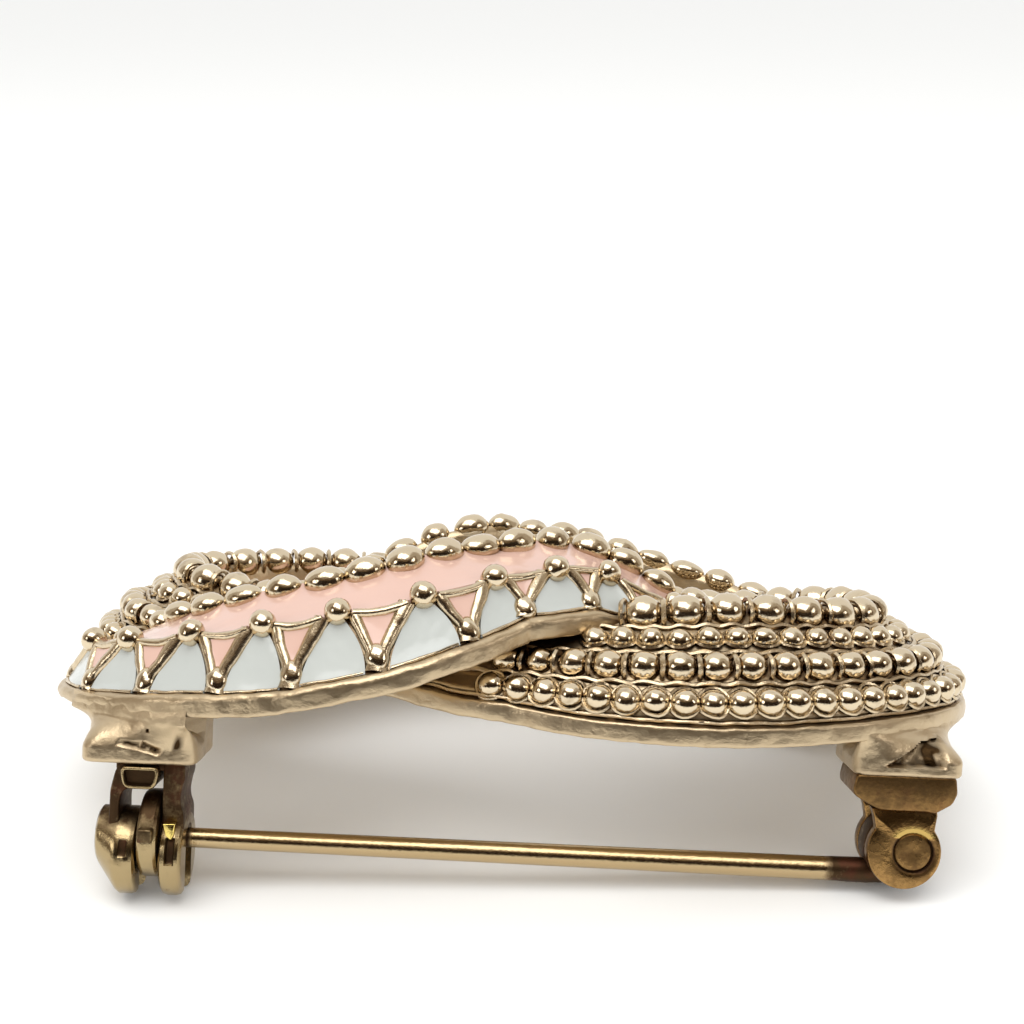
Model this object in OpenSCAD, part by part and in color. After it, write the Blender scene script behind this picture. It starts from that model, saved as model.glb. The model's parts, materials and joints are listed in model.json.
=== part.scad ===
// Oval brooch of two interlaced cast bands, one enamelled and one beaded, with a pin across the
// back. Everything is drawn flat, back down, in millimetres: X along the oval, Y away from the
// pin, Z up. rest_pose() then leans it the way it lies on a table, on its catch, its hinge and
// the far edge of the bands.

/* [Bands] */
// Half the length of the oval that both bands follow
oval_half_length = 20.9; // [20:0.1:23]
// Half the depth of that oval
oval_half_depth = 10.2; // [9.8:0.1:12]
// Squareness of that oval, where 2 is an ellipse
oval_squareness = 2.5; // [2:0.1:2.8]
// How far a band swings to either side of the oval
lane_swing = 2.9; // [2.8:0.1:3]
// Half the width of a band
band_half_width = 3; // [2.9:0.05:3.2]
// Height of the plain edge below the relief
plinth_height = 1.1; // [0.8:0.05:1.3]

/* [Relief] */
// Beads in each of the four rows of the beaded band
row_beads = 52; // [40:2:60]
// Size of a bead's waist as a share of its full size
bead_waist = 0.6; // [0.45:0.05:0.8]
// Enamelled units round the whole band, each with two beads on the inner edge
unit_count = 30; // [26:2:32]
// Diameter of the balls at the tips of the white cells
ball_diameter = 1.35; // [1:0.05:1.6]
// Diameter of the bosses at the lower tips of the pink cells
boss_diameter = 0.85; // [0.7:0.05:1.2]
// Width of the wires between the cells
wire_width = 0.5; // [0.4:0.05:0.6]
// Depth of the enamel in its cells
enamel_depth = 0.32; // [0.2:0.02:0.4]

/* [Pin and catch] */
// Middle of the pin and its fittings, towards the near edge
pin_y = -11.5; // [-12:0.1:-10.5]
// Height of the pin's axis in the catch
catch_z = -6.24; // [-6.6:0.02:-6]
// Radius of the catch's two cheeks
cheek_radius = 2.55; // [2.45:0.01:2.8]
// Radius of the turning lock
lock_radius = 2.4; // [2:0.05:2.45]
// Half the width of the slot that lets the pin into the catch
slot_half_width = 0.75; // [0.65:0.05:0.85]
// Radius of the pin at the hinge
stem_radius = 0.58; // [0.5:0.02:0.6]
// Radius of the pin at the catch
stem_end_radius = 0.5; // [0.4:0.05:0.55]
// Radius of the hinge's two lugs
lug_radius = 1.9; // [1.85:0.05:2]
// Radius of the rivet's shank
rivet_radius = 0.6; // [0.5:0.05:0.7]

/* [Hidden] */

// Clearances: running fit round a turning axis, and the gap between fixed pieces
running_gap = 0.04;
seat_gap = 0.02;
side_gap = 0.05;
enamel_gap = 0.07;

// Columns of the station tables: degrees round from the right-hand end, lane from -1 (inside) to
// 1 (outside), underside and top. The rows serve both half turns
ANGLE = 0;
LANE = 1;
BASE = 2;
TOP = 3;
half_turn = 180;
enamelled_stations = [
    [0, 0.00, 0.0, 3.0], [22.5, 0.70, 0.0, 4.6], [45, 1.00, 0.1, 5.5], [66, 1.00, 0.7, 7.0],
    [78, 0.91, 2.0, 8.1], [84, 0.52, 3.3, 8.8], [90, -0.27, 4.6, 9.3], [96, -0.84, 4.9, 9.6],
    [103, -1.00, 4.5, 8.8], [114, -1.00, 3.4, 7.1], [135, -1.00, 1.0, 5.3],
    [157.5, -0.70, 0.2, 4.2],
];
beaded_stations = [
    [0, 0.00, 1.0, 6.5], [22.5, -0.70, 0.5, 6.2], [45, -1.00, 0.4, 5.6], [66, -1.00, 1.2, 5.6],
    [78, -0.80, 1.2, 5.5], [84, -0.50, 0.9, 5.5], [90, -0.02, 0.6, 5.8], [96, 0.46, 0.3, 6.2],
    [103, 0.84, 0.2, 6.5], [114, 1.00, 0.2, 6.8], [135, 1.00, 0.6, 6.6], [157.5, 0.70, 0.8, 6.5],
];

// Columns of the bead rows: place across the band, share of its height, radius, and the way
// that the bead faces, in degrees above outward
ACROSS = 0;
SHARE = 1;
RADIUS = 2;
FACING = 3;
beaded_rows = [
    [-2.20, 0.90, 0.80, 100],
    [-0.75, 0.72, 0.60, 65],
    [0.90, 0.54, 0.68, 55],
    [2.15, 0.31, 0.62, 35],
];
// Where the points of a bead's outline lie, either side of the way it faces
bead_outline = [65, 0, -65];
// Inner wall of the beaded band: how far it leans, and its share of the height
inner_lean = 0.08;
inner_share = 0.8;
// Width of the sloping top of the plain edge, and the height of its rim as a share of the plinth
edge_slope_width = 0.5;
edge_rim_share = 0.7;
edge_slope_share = 0.8;

// Enamelled section: the edge bead, the strip, the wire line with the balls, and the wall
edge_bead_across = -2.4;
edge_bead_radius = 0.52;
strip_inner = -1.8;
strip_outer = 0.56;
wire_across = 1.05;
wire_share = 0.71;
wall_foot = 2.62;
// How far the cell floors lie back from the wires
floor_depth = 0.36;
// How far the strip starts above the wire line and ends below the top, and where the inner wall
// stops below the top
strip_step = 0.08;
strip_drop = 0.55;
inner_drop = 0.95;
// Wire line: its two corners, across and up, and how far the wall's head stays below it
wire_corners = [[-0.2, 0.25], [0.12, 0.15]];
wall_head_drop = 0.3;
// Cuts of the wall, as shares of its height, and the rise from its foot to the plain edge
wall_top_share = 1.02;
wall_cut_low = 0.04;
wall_cut_high = 0.98;
foot_rise = 0.1;
rim_share = 0.85;

// Rings of the sweep in a unit, and how far the units are shifted round, in units
unit_rings = 4;
unit_shift = 0.35;
// Units of the enamelled band that show, counted along each half turn
first_unit = 0;
last_unit = 9;
// Rings of each half turn between which the strip shows
strip_first_ring = 4;
strip_last_ring = 51;

// Round pieces
round_fn = 64;
post_fn = 8;
ball_fn = 6;

function signed_power(x, power) = sign(x) * pow(abs(x), power);

function wrap(i, n) = ((i % n) + n) % n;

// A station's value and angle, with the table taken round and round
function value(table, i, column) = table[wrap(i, len(table))][column];
function value_angle(table, i) =
    value(table, i, ANGLE) + half_turn * floor(i / len(table));

// Slope of a column at a station, from the stations on either side
function slope(table, i, column) =
    (value(table, i + 1, column) - value(table, i - 1, column))
        / (value_angle(table, i + 1) - value_angle(table, i - 1));

// Smooth curve through the stations
function station(table, angle, column) =
    let (
        turned = angle - half_turn * floor(angle / half_turn),
        i = len([for (row = table) if (row[ANGLE] <= turned) 1]) - 1,
        span = value_angle(table, i + 1) - value_angle(table, i),
        t = (turned - value_angle(table, i)) / span,
        from = value(table, i, column),
        change = value(table, i + 1, column) - from,
        first_bend = slope(table, i, column) * span - change,
        last_bend = change - slope(table, i + 1, column) * span
    )
    from + change * t + t * (1 - t) * ((1 - t) * first_bend + t * last_bend);

// Middle of a band in plan
function plan_point(table, angle) =
    let (swing = lane_swing * station(table, angle, LANE), power = 2 / oval_squareness)
    [(oval_half_length + swing) * signed_power(cos(angle), power),
        (oval_half_depth + swing) * signed_power(sin(angle), power)];

// Sideways direction of a band, away from the middle of the brooch
function outward(table, angle) =
    let (run = plan_point(table, angle + 0.5) - plan_point(table, angle - 0.5))
    [run.y, -run.x] / norm(run);

// A point of a band: across from its middle line, and height
function band_point(table, angle, across, height) =
    let (middle = plan_point(table, angle), side = outward(table, angle))
    [middle.x + across * side.x, middle.y + across * side.y, height];

// Length along a band's middle line against the angle, for lookup()
travel_step = 1.5;
function travel(table) =
    let (
        points = [for (angle = [0 : travel_step : 360]) plan_point(table, angle)],
        steps = [for (i = [1 : len(points) - 1]) norm(points[i] - points[i - 1])]
    )
    [for (i = 0, length = 0; i <= len(steps);
        length = length + (i < len(steps) ? steps[i] : 0), i = i + 1) [length, i * travel_step]];

enamelled_travel = travel(enamelled_stations);
beaded_travel = travel(beaded_stations);
function full_length(travelled) = travelled[len(travelled) - 1][0];

// Angle at a share of the whole way round a band
function angle_at(travelled, share) = lookup(share * full_length(travelled), travelled);

function bead_points(across, height, radius, facing) =
    [for (turn = bead_outline)
        [across + radius * cos(facing + turn), height + radius * sin(facing + turn)]];

// Outline of the beaded band, from its inner foot over the rows to its outer foot
function beaded_section(base, top, ring) =
    let (
        rise = top - base,
        rows = [for (r = [0 : len(beaded_rows) - 1])
            let (row = beaded_rows[r], swell = (ring + r) % 2 == 0 ? 1 : bead_waist)
            bead_points(row[ACROSS], base + row[SHARE] * rise, row[RADIUS] * swell, row[FACING])]
    )
    concat(
        [[-band_half_width, base],
            [inner_lean - band_half_width, base + inner_share * rise]],
        [for (row = rows) each row],
        [[band_half_width - edge_slope_width, base + edge_slope_share * plinth_height],
            [band_half_width, base + edge_rim_share * plinth_height],
            [band_half_width, base]]
    );

// Height of the wire line that carries the balls, and of the enamelled strip above it
function wire_height(base, top) = base + wire_share * (top - base);
function strip_height(base, top, across) =
    let (low = wire_height(base, top) + strip_step, high = top - strip_drop,
        share = (strip_outer - across) / (strip_outer - strip_inner))
    low + share * (high - low);

// Place on the wall of the enamelled band: share of the way from its foot up to the wire line,
// and distance off the floor of the cells
function wall_place(base, top, share, lift) =
    let (
        foot = [wall_foot - floor_depth, base + plinth_height],
        head = [wire_across, wire_height(base, top) - wall_head_drop],
        slope = (head - foot) / norm(head - foot)
    )
    foot + share * (head - foot) + lift * [slope.y, -slope.x];

// The zigzag wire climbs from a boss at the start of a unit to the ball at its middle
function wire_climb(ring) = 1 - abs((ring % unit_rings) * 2 / unit_rings - 1);
wire_low = 0.10;
wire_high = 0.92;
wire_lift = 0.36;
// Half the height of the slanting wire's cut, as a share of the wall
wire_half_cut = 0.27 * wire_width;

// Outline of the enamelled band, from its inner foot over the strip to its outer foot
function enamelled_section(base, top, ring) =
    let (
        swell = ring % 2 == 0 ? 1 : bead_waist,
        wire = wire_height(base, top),
        climb = wire_low + (wire_high - wire_low) * wire_climb(ring)
    )
    concat(
        [[-band_half_width, base], [inner_lean - band_half_width, top - inner_drop]],
        bead_points(edge_bead_across, top - edge_bead_radius, edge_bead_radius * swell, 90),
        [[strip_inner, strip_height(base, top, strip_inner) - floor_depth],
            [strip_outer, strip_height(base, top, strip_outer) - floor_depth],
            [wire_across, wire] + wire_corners[0],
            [wire_across, wire] + wire_corners[1]],
        [wall_place(base, top, wall_top_share, 0),
            wall_place(base, top, min(climb + wire_half_cut, wall_cut_high), 0),
            wall_place(base, top, climb, wire_lift),
            wall_place(base, top, max(climb - wire_half_cut, wall_cut_low), 0),
            wall_place(base, top, 0, 0)],
        [[wall_foot, base + plinth_height + foot_rise],
            [band_half_width, base + rim_share * plinth_height],
            [band_half_width, base]]
    );

// Skin of a closed sweep or an open one, through rings of equally many points
module skin(rings, closed) {
    count = len(rings);
    size = len(rings[0]);
    turns = closed ? count : count - 1;
    sides = [
        for (k = [0 : turns - 1], j = [0 : size - 1])
            let (a = k * size + j, b = k * size + (j + 1) % size,
                c = ((k + 1) % count) * size + (j + 1) % size,
                d = ((k + 1) % count) * size + j)
            each [[a, c, b], [a, d, c]]
    ];
    ends = closed ? [] : [
        [for (j = [0 : size - 1]) j],
        [for (j = [size - 1 : -1 : 0]) (count - 1) * size + j],
    ];
    polyhedron(points = [for (ring = rings) each ring], faces = concat(sides, ends));
}

// One ring of a band: its outline at an angle, stood across the band
function ring_points(table, angle, outline) =
    let (middle = plan_point(table, angle), side = outward(table, angle))
    [for (p = outline) [middle.x + p.x * side.x, middle.y + p.x * side.y, p.y]];

module beaded_band() {
    count = 2 * row_beads;
    skin([for (k = [0 : count - 1])
        let (angle = angle_at(beaded_travel, k / count))
        ring_points(beaded_stations, angle, beaded_section(
            station(beaded_stations, angle, BASE), station(beaded_stations, angle, TOP), k))],
        true);
}

module enamelled_band() {
    count = unit_rings * unit_count;
    skin([for (k = [0 : count - 1])
        let (angle = angle_at(enamelled_travel, unit_share(k / unit_rings)))
        ring_points(enamelled_stations, angle, enamelled_section(
            station(enamelled_stations, angle, BASE), station(enamelled_stations, angle, TOP),
            k))],
        true);
}

// Share of the way round at a number of units, wrapped into one turn
function unit_share(units) =
    let (share = (units + unit_shift) / unit_count)
    share - floor(share);

// A point of the enamelled wall, at a number of units round
function wall_point(units, height_share, lift) =
    let (
        angle = angle_at(enamelled_travel, unit_share(units)),
        place = wall_place(station(enamelled_stations, angle, BASE),
            station(enamelled_stations, angle, TOP), height_share, lift)
    )
    band_point(enamelled_stations, angle, place.x, place.y);

// Units up to a ball or a boss of one half turn
function ball_units(unit, half) = half * unit_count / 2 + unit + 0.5;
function boss_units(unit, half) = half * unit_count / 2 + unit + 1;
ball_share = 1.06;
boss_share = 0.06;
ball_lift = 0.35;
ball_root = -0.1;
boss_lift = 0.2;
boss_root = -0.2;

// Ball on a short neck that runs into the wall
module ball(place, root, diameter) {
    hull() {
        translate(place) sphere(d = diameter, $fn = ball_fn);
        translate(root) sphere(d = diameter / 2, $fn = ball_fn);
    }
}

// Balls at the tips of the white cells and bosses at the foot of the pink ones
module cell_relief() {
    for (half = [0, 1], unit = [first_unit : last_unit]) {
        ball(wall_point(ball_units(unit, half), ball_share, ball_lift),
            wall_point(ball_units(unit, half), ball_share, ball_root), ball_diameter);
        ball(wall_point(boss_units(unit, half), boss_share, boss_lift),
            wall_point(boss_units(unit, half), boss_share, boss_root), boss_diameter);
    }
}

// Block with rounded upright edges, from one low corner to the opposite high one
module post(low, high, corner) {
    hull() {
        for (x = [low.x + corner, high.x - corner], y = [low.y + corner, high.y - corner]) {
            translate([x, y, low.z]) cylinder(r = corner, h = high.z - low.z, $fn = post_fn);
        }
    }
}

catch_post_low = [-21.3, pin_y - 2.0, -2.6];
catch_post_high = [-15.5, pin_y + 3.2, 1.2];
hinge_post_low = [17.1, pin_y - 1.9, -1.6];
hinge_post_high = [22.6, pin_y + 3.4, 1.2];
post_corner = 1.3;

module cast_frame() {
    color("#c9b38c") rest_pose() union() {
        beaded_band();
        enamelled_band();
        cell_relief();
        post(catch_post_low, catch_post_high, post_corner);
        post(hinge_post_low, hinge_post_high, post_corner);
    }
}

// Enamelled strip of one half turn, open at both ends where the beaded band crosses over it
module strip(half) {
    first = half * unit_rings * unit_count / 2;
    skin([for (k = [first + strip_first_ring : first + strip_last_ring])
        let (
            angle = angle_at(enamelled_travel, unit_share(k / unit_rings)),
            base = station(enamelled_stations, angle, BASE),
            top = station(enamelled_stations, angle, TOP),
            inner = strip_inner + enamel_gap,
            outer = strip_outer - enamel_gap,
            inner_z = strip_height(base, top, inner) - floor_depth + enamel_gap,
            outer_z = strip_height(base, top, outer) - floor_depth + enamel_gap
        )
        ring_points(enamelled_stations, angle, [
            [inner, inner_z], [inner, inner_z + enamel_depth],
            [outer, outer_z + enamel_depth], [outer, outer_z],
        ])],
        false);
}

// Columns of the cell rows: share of the wall's height, and half the cell's width in units
cell_rows_white = [[0.08, 0.27], [0.39, 0.17], [0.70, 0.04]];
cell_rows_first = [[0.08, 0.29], [0.34, 0.18], [0.60, 0.04]];
cell_rows_last = [[0.53, 0.13], [0.62, 0.08], [0.70, 0.03]];
cell_rows_pink = [[0.32, 0.04], [0.62, 0.18], [0.92, 0.32]];
// The first white cell is cut short by the beaded band that crosses beside it
first_side = 0.1;

function white_rows(unit) =
    unit == first_unit ? cell_rows_first : unit == last_unit ? cell_rows_last : cell_rows_white;

// One enamel cell: rows of three points on the wall, with a face and a back
module cell(units, rows, side_before = 1) {
    skin([for (row = rows)
        [for (p = [[-side_before, 1], [0, 1], [1, 1], [1, 0], [0, 0], [-side_before, 0]])
            wall_point(units + p.x * row[1], row[0], enamel_gap + p.y * enamel_depth)]],
        false);
}

module pink_enamel() {
    color("#eec3b4") rest_pose() union() {
        for (half = [0, 1]) strip(half);
        for (half = [0, 1], unit = [first_unit : last_unit - 1]) {
            cell(boss_units(unit, half), cell_rows_pink);
        }
    }
}

module white_enamel() {
    color("#f0f3f3") rest_pose() union() {
        for (half = [0, 1], unit = [first_unit : last_unit]) {
            cell(ball_units(unit, half), white_rows(unit), unit == first_unit ? first_side : 1);
        }
    }
}

// Round piece along X, from one end to the other
module along(from, to, from_radius, to_radius) {
    translate([from, 0, 0]) rotate([0, 90, 0])
        cylinder(h = to - from, r1 = from_radius, r2 = to_radius, $fn = round_fn);
}

// Flat piece drawn in X and Z, from its near face to its far one
module flat(near, far) {
    translate([0, far, 0]) rotate([90, 0, 0]) linear_extrude(far - near) children();
}

// Box between two corners
module block(low, high) {
    translate(low) cube(high - low);
}

// Faces of the catch along X, from the closed end to the pin's side
cap_x = -20.6;
cone_x = -19.5;
cheek_x = -18.4;
lock_x = -18.35;
lock_end_x = -17.3;
far_cheek_x = -17.25;
catch_end_x = -16.1;
bore_end_x = -19.8;
cap_radius = 1.45;
hub_radius = 1.3;
rim_chamfer = 0.3;
// How far the cheeks hang below the pin's axis
cheek_drop = 0.4;
hub_overlap = 0.2;
// Base plate and upright strips of the catch, heights above the pin's axis
plate_low_z = 2.7;
plate_high_z = catch_post_low.z - catch_z - seat_gap;
window_z = 1.5;
tab_x = [-19.25, -17.35];
tab_half_depth = 1.9;
foot_thickness = 0.4;
strip_half_depth = 1.4;
closed_strip_x = [-19.75, -18.95];
open_strip_x = [far_cheek_x, -16.3];
// How far the cuts reach past the metal
cut_reach = 5;

module catch_fixed() {
    difference() {
        union() {
            translate([0, 0, -cheek_drop]) {
                along(cap_x, cone_x, cap_radius, cheek_radius);
                along(cone_x, cheek_x, cheek_radius, cheek_radius);
                along(far_cheek_x, catch_end_x - rim_chamfer, cheek_radius, cheek_radius);
                along(catch_end_x - rim_chamfer, catch_end_x,
                    cheek_radius, cheek_radius - rim_chamfer);
            }
            along(cheek_x - hub_overlap, far_cheek_x - side_gap, hub_radius, hub_radius);
            block([tab_x[0], -tab_half_depth, plate_low_z],
                [tab_x[1], tab_half_depth, plate_high_z]);
            block([closed_strip_x[0], -strip_half_depth, plate_high_z - foot_thickness],
                [open_strip_x[1], strip_half_depth, plate_high_z]);
            for (strip_x = [closed_strip_x, open_strip_x]) {
                block([strip_x[0], -strip_half_depth, 0],
                    [strip_x[1], strip_half_depth, plate_high_z]);
            }
        }
        along(bore_end_x, catch_end_x + cut_reach, slot_half_width, slot_half_width);
        block([bore_end_x, -slot_half_width, -cut_reach],
            [catch_end_x + cut_reach, slot_half_width, 0]);
        block([closed_strip_x[1], -cut_reach, window_z], [lock_x, cut_reach, plate_low_z]);
    }
}

module catch_body() {
    color("#8f7a52") rest_pose() translate([0, pin_y, catch_z]) catch_fixed();
}

// Finger tab of the lock
finger_gap = 0.15;
finger_reach = 0.35;
finger_root = 1.6;
finger_z = [0.25, 0.95];

// Turning ring with a slot and a finger tab; open at rest, it turns about the pin's axis
module catch_lock() {
    color("#9a8458") rest_pose() translate([0, pin_y, catch_z]) difference() {
        union() {
            along(lock_x, lock_end_x, lock_radius, lock_radius);
            block([lock_x + finger_gap, -lock_radius - finger_reach, finger_z[0]],
                [lock_end_x - finger_gap, -finger_root, finger_z[1]]);
        }
        along(lock_x - cut_reach, lock_end_x + cut_reach,
            hub_radius + running_gap, hub_radius + running_gap);
        block([lock_x - cut_reach, -slot_half_width, -cut_reach],
            [lock_end_x + cut_reach, slot_half_width, 0]);
    }
}

// Hinge: middle of the lugs and knuckle, and the rivet's axis, in X and Z
knuckle_centre = [19.9, -5.1];
rivet_centre = [20.45, -5.1];
knuckle_radius = 1.83;
heel_radius = 2.05;
knuckle_half_width = 0.75;
lug_thickness = 0.75;
head_radius = 0.97;
head_depth = 0.3;
recess_depth = 0.42;
hinge_plate_half_depth = 1.8;
plate_top_z = hinge_post_low.z - seat_gap;
plate_outline = [
    [17.2, plate_top_z], [22.3, plate_top_z], [22.4, -2.5],
    [21.6, -3.05], [18.1, -3.05], [17.05, -2.4],
];
neck_outline = [[18.0, -2.9], [21.8, -2.9], [21.6, -4.2], [18.2, -4.2]];
lug_near = knuckle_half_width + side_gap;
lug_far = lug_near + lug_thickness;

// Outline of a lug: a disc on a neck that reaches into the plate
module lug_outline() {
    difference() {
        union() {
            translate(knuckle_centre) circle(r = lug_radius, $fn = round_fn);
            polygon(neck_outline);
        }
        translate(rivet_centre) circle(r = rivet_radius + seat_gap, $fn = round_fn);
    }
}

module hinge_base() {
    color("#8a6f3e") rest_pose() translate([0, pin_y, 0]) difference() {
        union() {
            flat(-hinge_plate_half_depth, hinge_plate_half_depth) polygon(plate_outline);
            flat(-lug_far, -lug_near) lug_outline();
            flat(lug_near, lug_far) lug_outline();
        }
        flat(-lug_far - cut_reach, -lug_far + recess_depth)
            translate(rivet_centre) circle(r = head_radius + seat_gap, $fn = round_fn);
    }
}

module hinge_rivet() {
    head_near = -lug_far + recess_depth - seat_gap - head_depth;
    color("#8a7145") rest_pose() translate([0, pin_y, 0]) union() {
        flat(head_near, head_near + head_depth)
            translate(rivet_centre) circle(r = head_radius, $fn = round_fn);
        flat(head_near, lug_far) translate(rivet_centre) circle(r = rivet_radius, $fn = round_fn);
    }
}

// Pin: where its axis starts in the knuckle and where it starts to narrow, in X and Z
stem_root = [19.5, -6.45];
stem_end = [-16, catch_z];
point_length = 3.4;
tip_radius = 0.18;

// Tapered pin with its point, turned from half its outline
module pin_rod() {
    run = stem_end - stem_root;
    shank = norm(run);
    translate([stem_root.x, 0, stem_root.y]) rotate([0, atan2(run.x, run.y), 0])
        rotate_extrude($fn = round_fn) polygon([
            [0, 0], [stem_radius, 0], [stem_end_radius, shank],
            [tip_radius, shank + point_length], [0, shank + point_length],
        ]);
}

module pin_stem() {
    color("#b08d4c") rest_pose() translate([0, pin_y, 0]) difference() {
        union() {
            flat(-knuckle_half_width, knuckle_half_width) union() {
                translate(knuckle_centre) circle(r = knuckle_radius, $fn = round_fn);
                intersection() {
                    translate(knuckle_centre) circle(r = heel_radius, $fn = round_fn);
                    translate(knuckle_centre - [heel_radius, heel_radius])
                        square([2 * heel_radius, heel_radius]);
                }
            }
            pin_rod();
        }
        flat(-cut_reach, cut_reach) translate(rivet_centre)
            circle(r = rivet_radius + running_gap, $fn = round_fn);
    }
}

// The three places that touch the table: the catch, the far lug and the far edge of the bands
rest_angle = 54.5;
catch_touch_turn = 16.9;
catch_touch = [
    catch_end_x - rim_chamfer, pin_y + cheek_radius * sin(catch_touch_turn),
    catch_z - cheek_drop - cheek_radius * cos(catch_touch_turn),
];
hinge_touch = [knuckle_centre.x, pin_y + lug_far, knuckle_centre.y - lug_radius];
far_touch = band_point(enamelled_stations, rest_angle, band_half_width,
    station(enamelled_stations, rest_angle, BASE));
table_normal = let (n = cross(hinge_touch - catch_touch, far_touch - catch_touch)) n / norm(n);
table_lift = -(table_normal * catch_touch);
// Brings the middle of the brooch over the origin
rest_shift = [-0.061, -0.1715];

module rest_pose() {
    translate([rest_shift.x, rest_shift.y, table_lift])
        rotate(a = acos(table_normal.z), v = cross(table_normal, [0, 0, 1]))
            children();
}

cast_frame();
pink_enamel();
white_enamel();
catch_body();
catch_lock();
hinge_base();
hinge_rivet();
pin_stem();
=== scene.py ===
import json
import math

import bmesh
import bpy
import numpy as np
from bpy.props import (
    FloatProperty, FloatVectorProperty, IntProperty, PointerProperty,
)
from mathutils import Matrix, Quaternion, Vector, noise


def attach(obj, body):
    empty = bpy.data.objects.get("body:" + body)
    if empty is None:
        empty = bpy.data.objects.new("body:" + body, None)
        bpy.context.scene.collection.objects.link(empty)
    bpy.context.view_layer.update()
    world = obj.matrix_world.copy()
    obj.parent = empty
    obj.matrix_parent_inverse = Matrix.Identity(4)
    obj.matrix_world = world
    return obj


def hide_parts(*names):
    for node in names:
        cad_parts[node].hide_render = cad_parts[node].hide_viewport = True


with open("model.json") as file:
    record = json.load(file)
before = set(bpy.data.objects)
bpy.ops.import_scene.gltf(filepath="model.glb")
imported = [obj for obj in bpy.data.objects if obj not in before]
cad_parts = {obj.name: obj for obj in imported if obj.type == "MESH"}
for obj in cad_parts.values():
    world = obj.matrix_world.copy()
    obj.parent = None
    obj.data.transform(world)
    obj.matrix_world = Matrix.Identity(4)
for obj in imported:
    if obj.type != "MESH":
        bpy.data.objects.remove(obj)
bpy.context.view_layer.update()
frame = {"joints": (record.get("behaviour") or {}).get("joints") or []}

bl_info = {
    "name": "Oval two-band brooch",
    "version": (1, 0, 0),
    "blender": (4, 5, 0),
    "location": "View3D > Sidebar > Brooch",
    "description": "Dresses the brooch's frame: cast bands, enamel, catch, hinge and pin",
    "category": "Object",
}

MM = 0.001

# The brooch is drawn flat, back down, in millimetres, and then leant the way the frame lies.
# The lock turns about the brooch's length, and the pin swings about its depth
JOINTS = {joint["name"]: joint for joint in frame["joints"]}
LENGTHWAYS = Vector(JOINTS["lock_turn"]["axis"]).normalized()
DEPTHWAYS = -Vector(JOINTS["pin_swing"]["axis"]).normalized()
UPWARDS = LENGTHWAYS.cross(DEPTHWAYS).normalized()
TURN = Matrix((LENGTHWAYS, DEPTHWAYS, UPWARDS)).transposed()
RIVET_PLACE = Vector((20.45, -11.5, -5.1))
ORIGIN = Vector(JOINTS["pin_swing"]["pos_m"]) - TURN @ (RIVET_PLACE * MM)

# Stations of the two bands, alike in both half turns: degrees round from the right-hand end,
# lane from -1 (inside) to 1 (outside), underside and top
ANGLE, LANE, BASE, TOP = 0, 1, 2, 3
HALF_TURN = 180
ENAMELLED_STATIONS = (
    (0, 0.00, 0.0, 2.6), (22.5, 0.70, 0.0, 4.0), (45, 1.00, 0.1, 5.3), (66, 1.00, 0.7, 7.0),
    (78, 0.91, 2.0, 8.1), (84, 0.52, 3.3, 8.8), (90, -0.27, 4.6, 9.3), (96, -0.84, 4.9, 9.6),
    (103, -1.00, 4.5, 8.8), (114, -1.00, 3.4, 7.1), (135, -1.00, 1.0, 5.3),
    (157.5, -0.70, 0.2, 4.2),
)
BEADED_STATIONS = (
    (0, 0.00, 1.0, 6.5), (22.5, -0.70, 0.5, 6.2), (45, -1.00, 0.4, 5.6), (66, -1.00, 1.2, 5.6),
    (78, -0.80, 1.2, 5.5), (84, -0.50, 0.9, 5.5), (90, -0.02, 0.6, 5.8), (96, 0.46, 0.3, 6.2),
    (103, 0.84, 0.2, 6.5), (114, 1.00, 0.2, 6.8), (135, 1.00, 0.6, 6.6), (157.5, 0.70, 0.8, 6.5),
)
# The oval that the bands' lanes run beside, a little squarer than an ellipse
OVAL_HALF_LENGTH = 20.9
OVAL_HALF_DEPTH = 10.2
OVAL_POWER = 2 / 2.5
LANE_SWING = 2.9
# Both bands: half their width, and the places across their flat underside
HALF_WIDTH = 3.0
UNDERSIDE = (1.9, 0.9, 0.0, -0.9, -1.9)
# Height of the beaded band's plain foot
PLINTH_HEIGHT = 1.1
# Sections along each band
BEADED_RINGS = 460
ENAMELLED_RINGS = 480

# Rows of the beaded band: across, share of the height, radius, facing in degrees above outward,
# distance between beads
BEAD_ROWS = (
    (-2.20, 0.90, 0.98, 100, 2.14),
    (-0.75, 0.72, 0.66, 65, 1.45),
    (0.90, 0.54, 0.80, 55, 1.80),
    (2.15, 0.31, 0.70, 35, 1.40),
)
# Beads: how long they are for their width, how far their middles stand off the row, and how far
# their place strays and their size varies
BEAD_LENGTH = 1.08
BEAD_LIFT = 0.12
BEAD_STRAY = 0.02
BEAD_VARY = 0.025
# Rings: radius for the bead's, lift off the row, and thickness for the cup's. A cup lies under its
# bead, and a turned ring stands between two beads of the rows that have them
CUP = (1.13, 0.16, 1.0)
TURNED_RING = (0.8, 0.1, 1.4)
TURNED_RING_ROWS = (0, 2)
RING_POLISH = 0.6
# Ridges between the rows: radius, swing of their waves and lift off the valley
RIDGE_RADIUS = 0.15
RIDGE_SWING = 0.06
RIDGE_LIFT = 0.07
# The thin line over the plain foot: radius, distance between waves, and swing
FOOT_LINE = (0.09, 3.0, 0.02)

# Edge beads of the enamelled band: across, share of the height that they are spread along,
# distance between them, how far their middles lie under the band's top, facing in degrees above
# outward, half length, width and height, and how far their place strays and their size varies
EDGE_ACROSS = -2.35
EDGE_SHARE = 0.9
EDGE_PITCH = 2.2
EDGE_SUNK = 0.36
EDGE_FACING = 82
EDGE_SIZE = (1.05, 0.80, 0.77)
EDGE_STRAY = 0.0008
EDGE_VARY = 0.07
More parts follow.
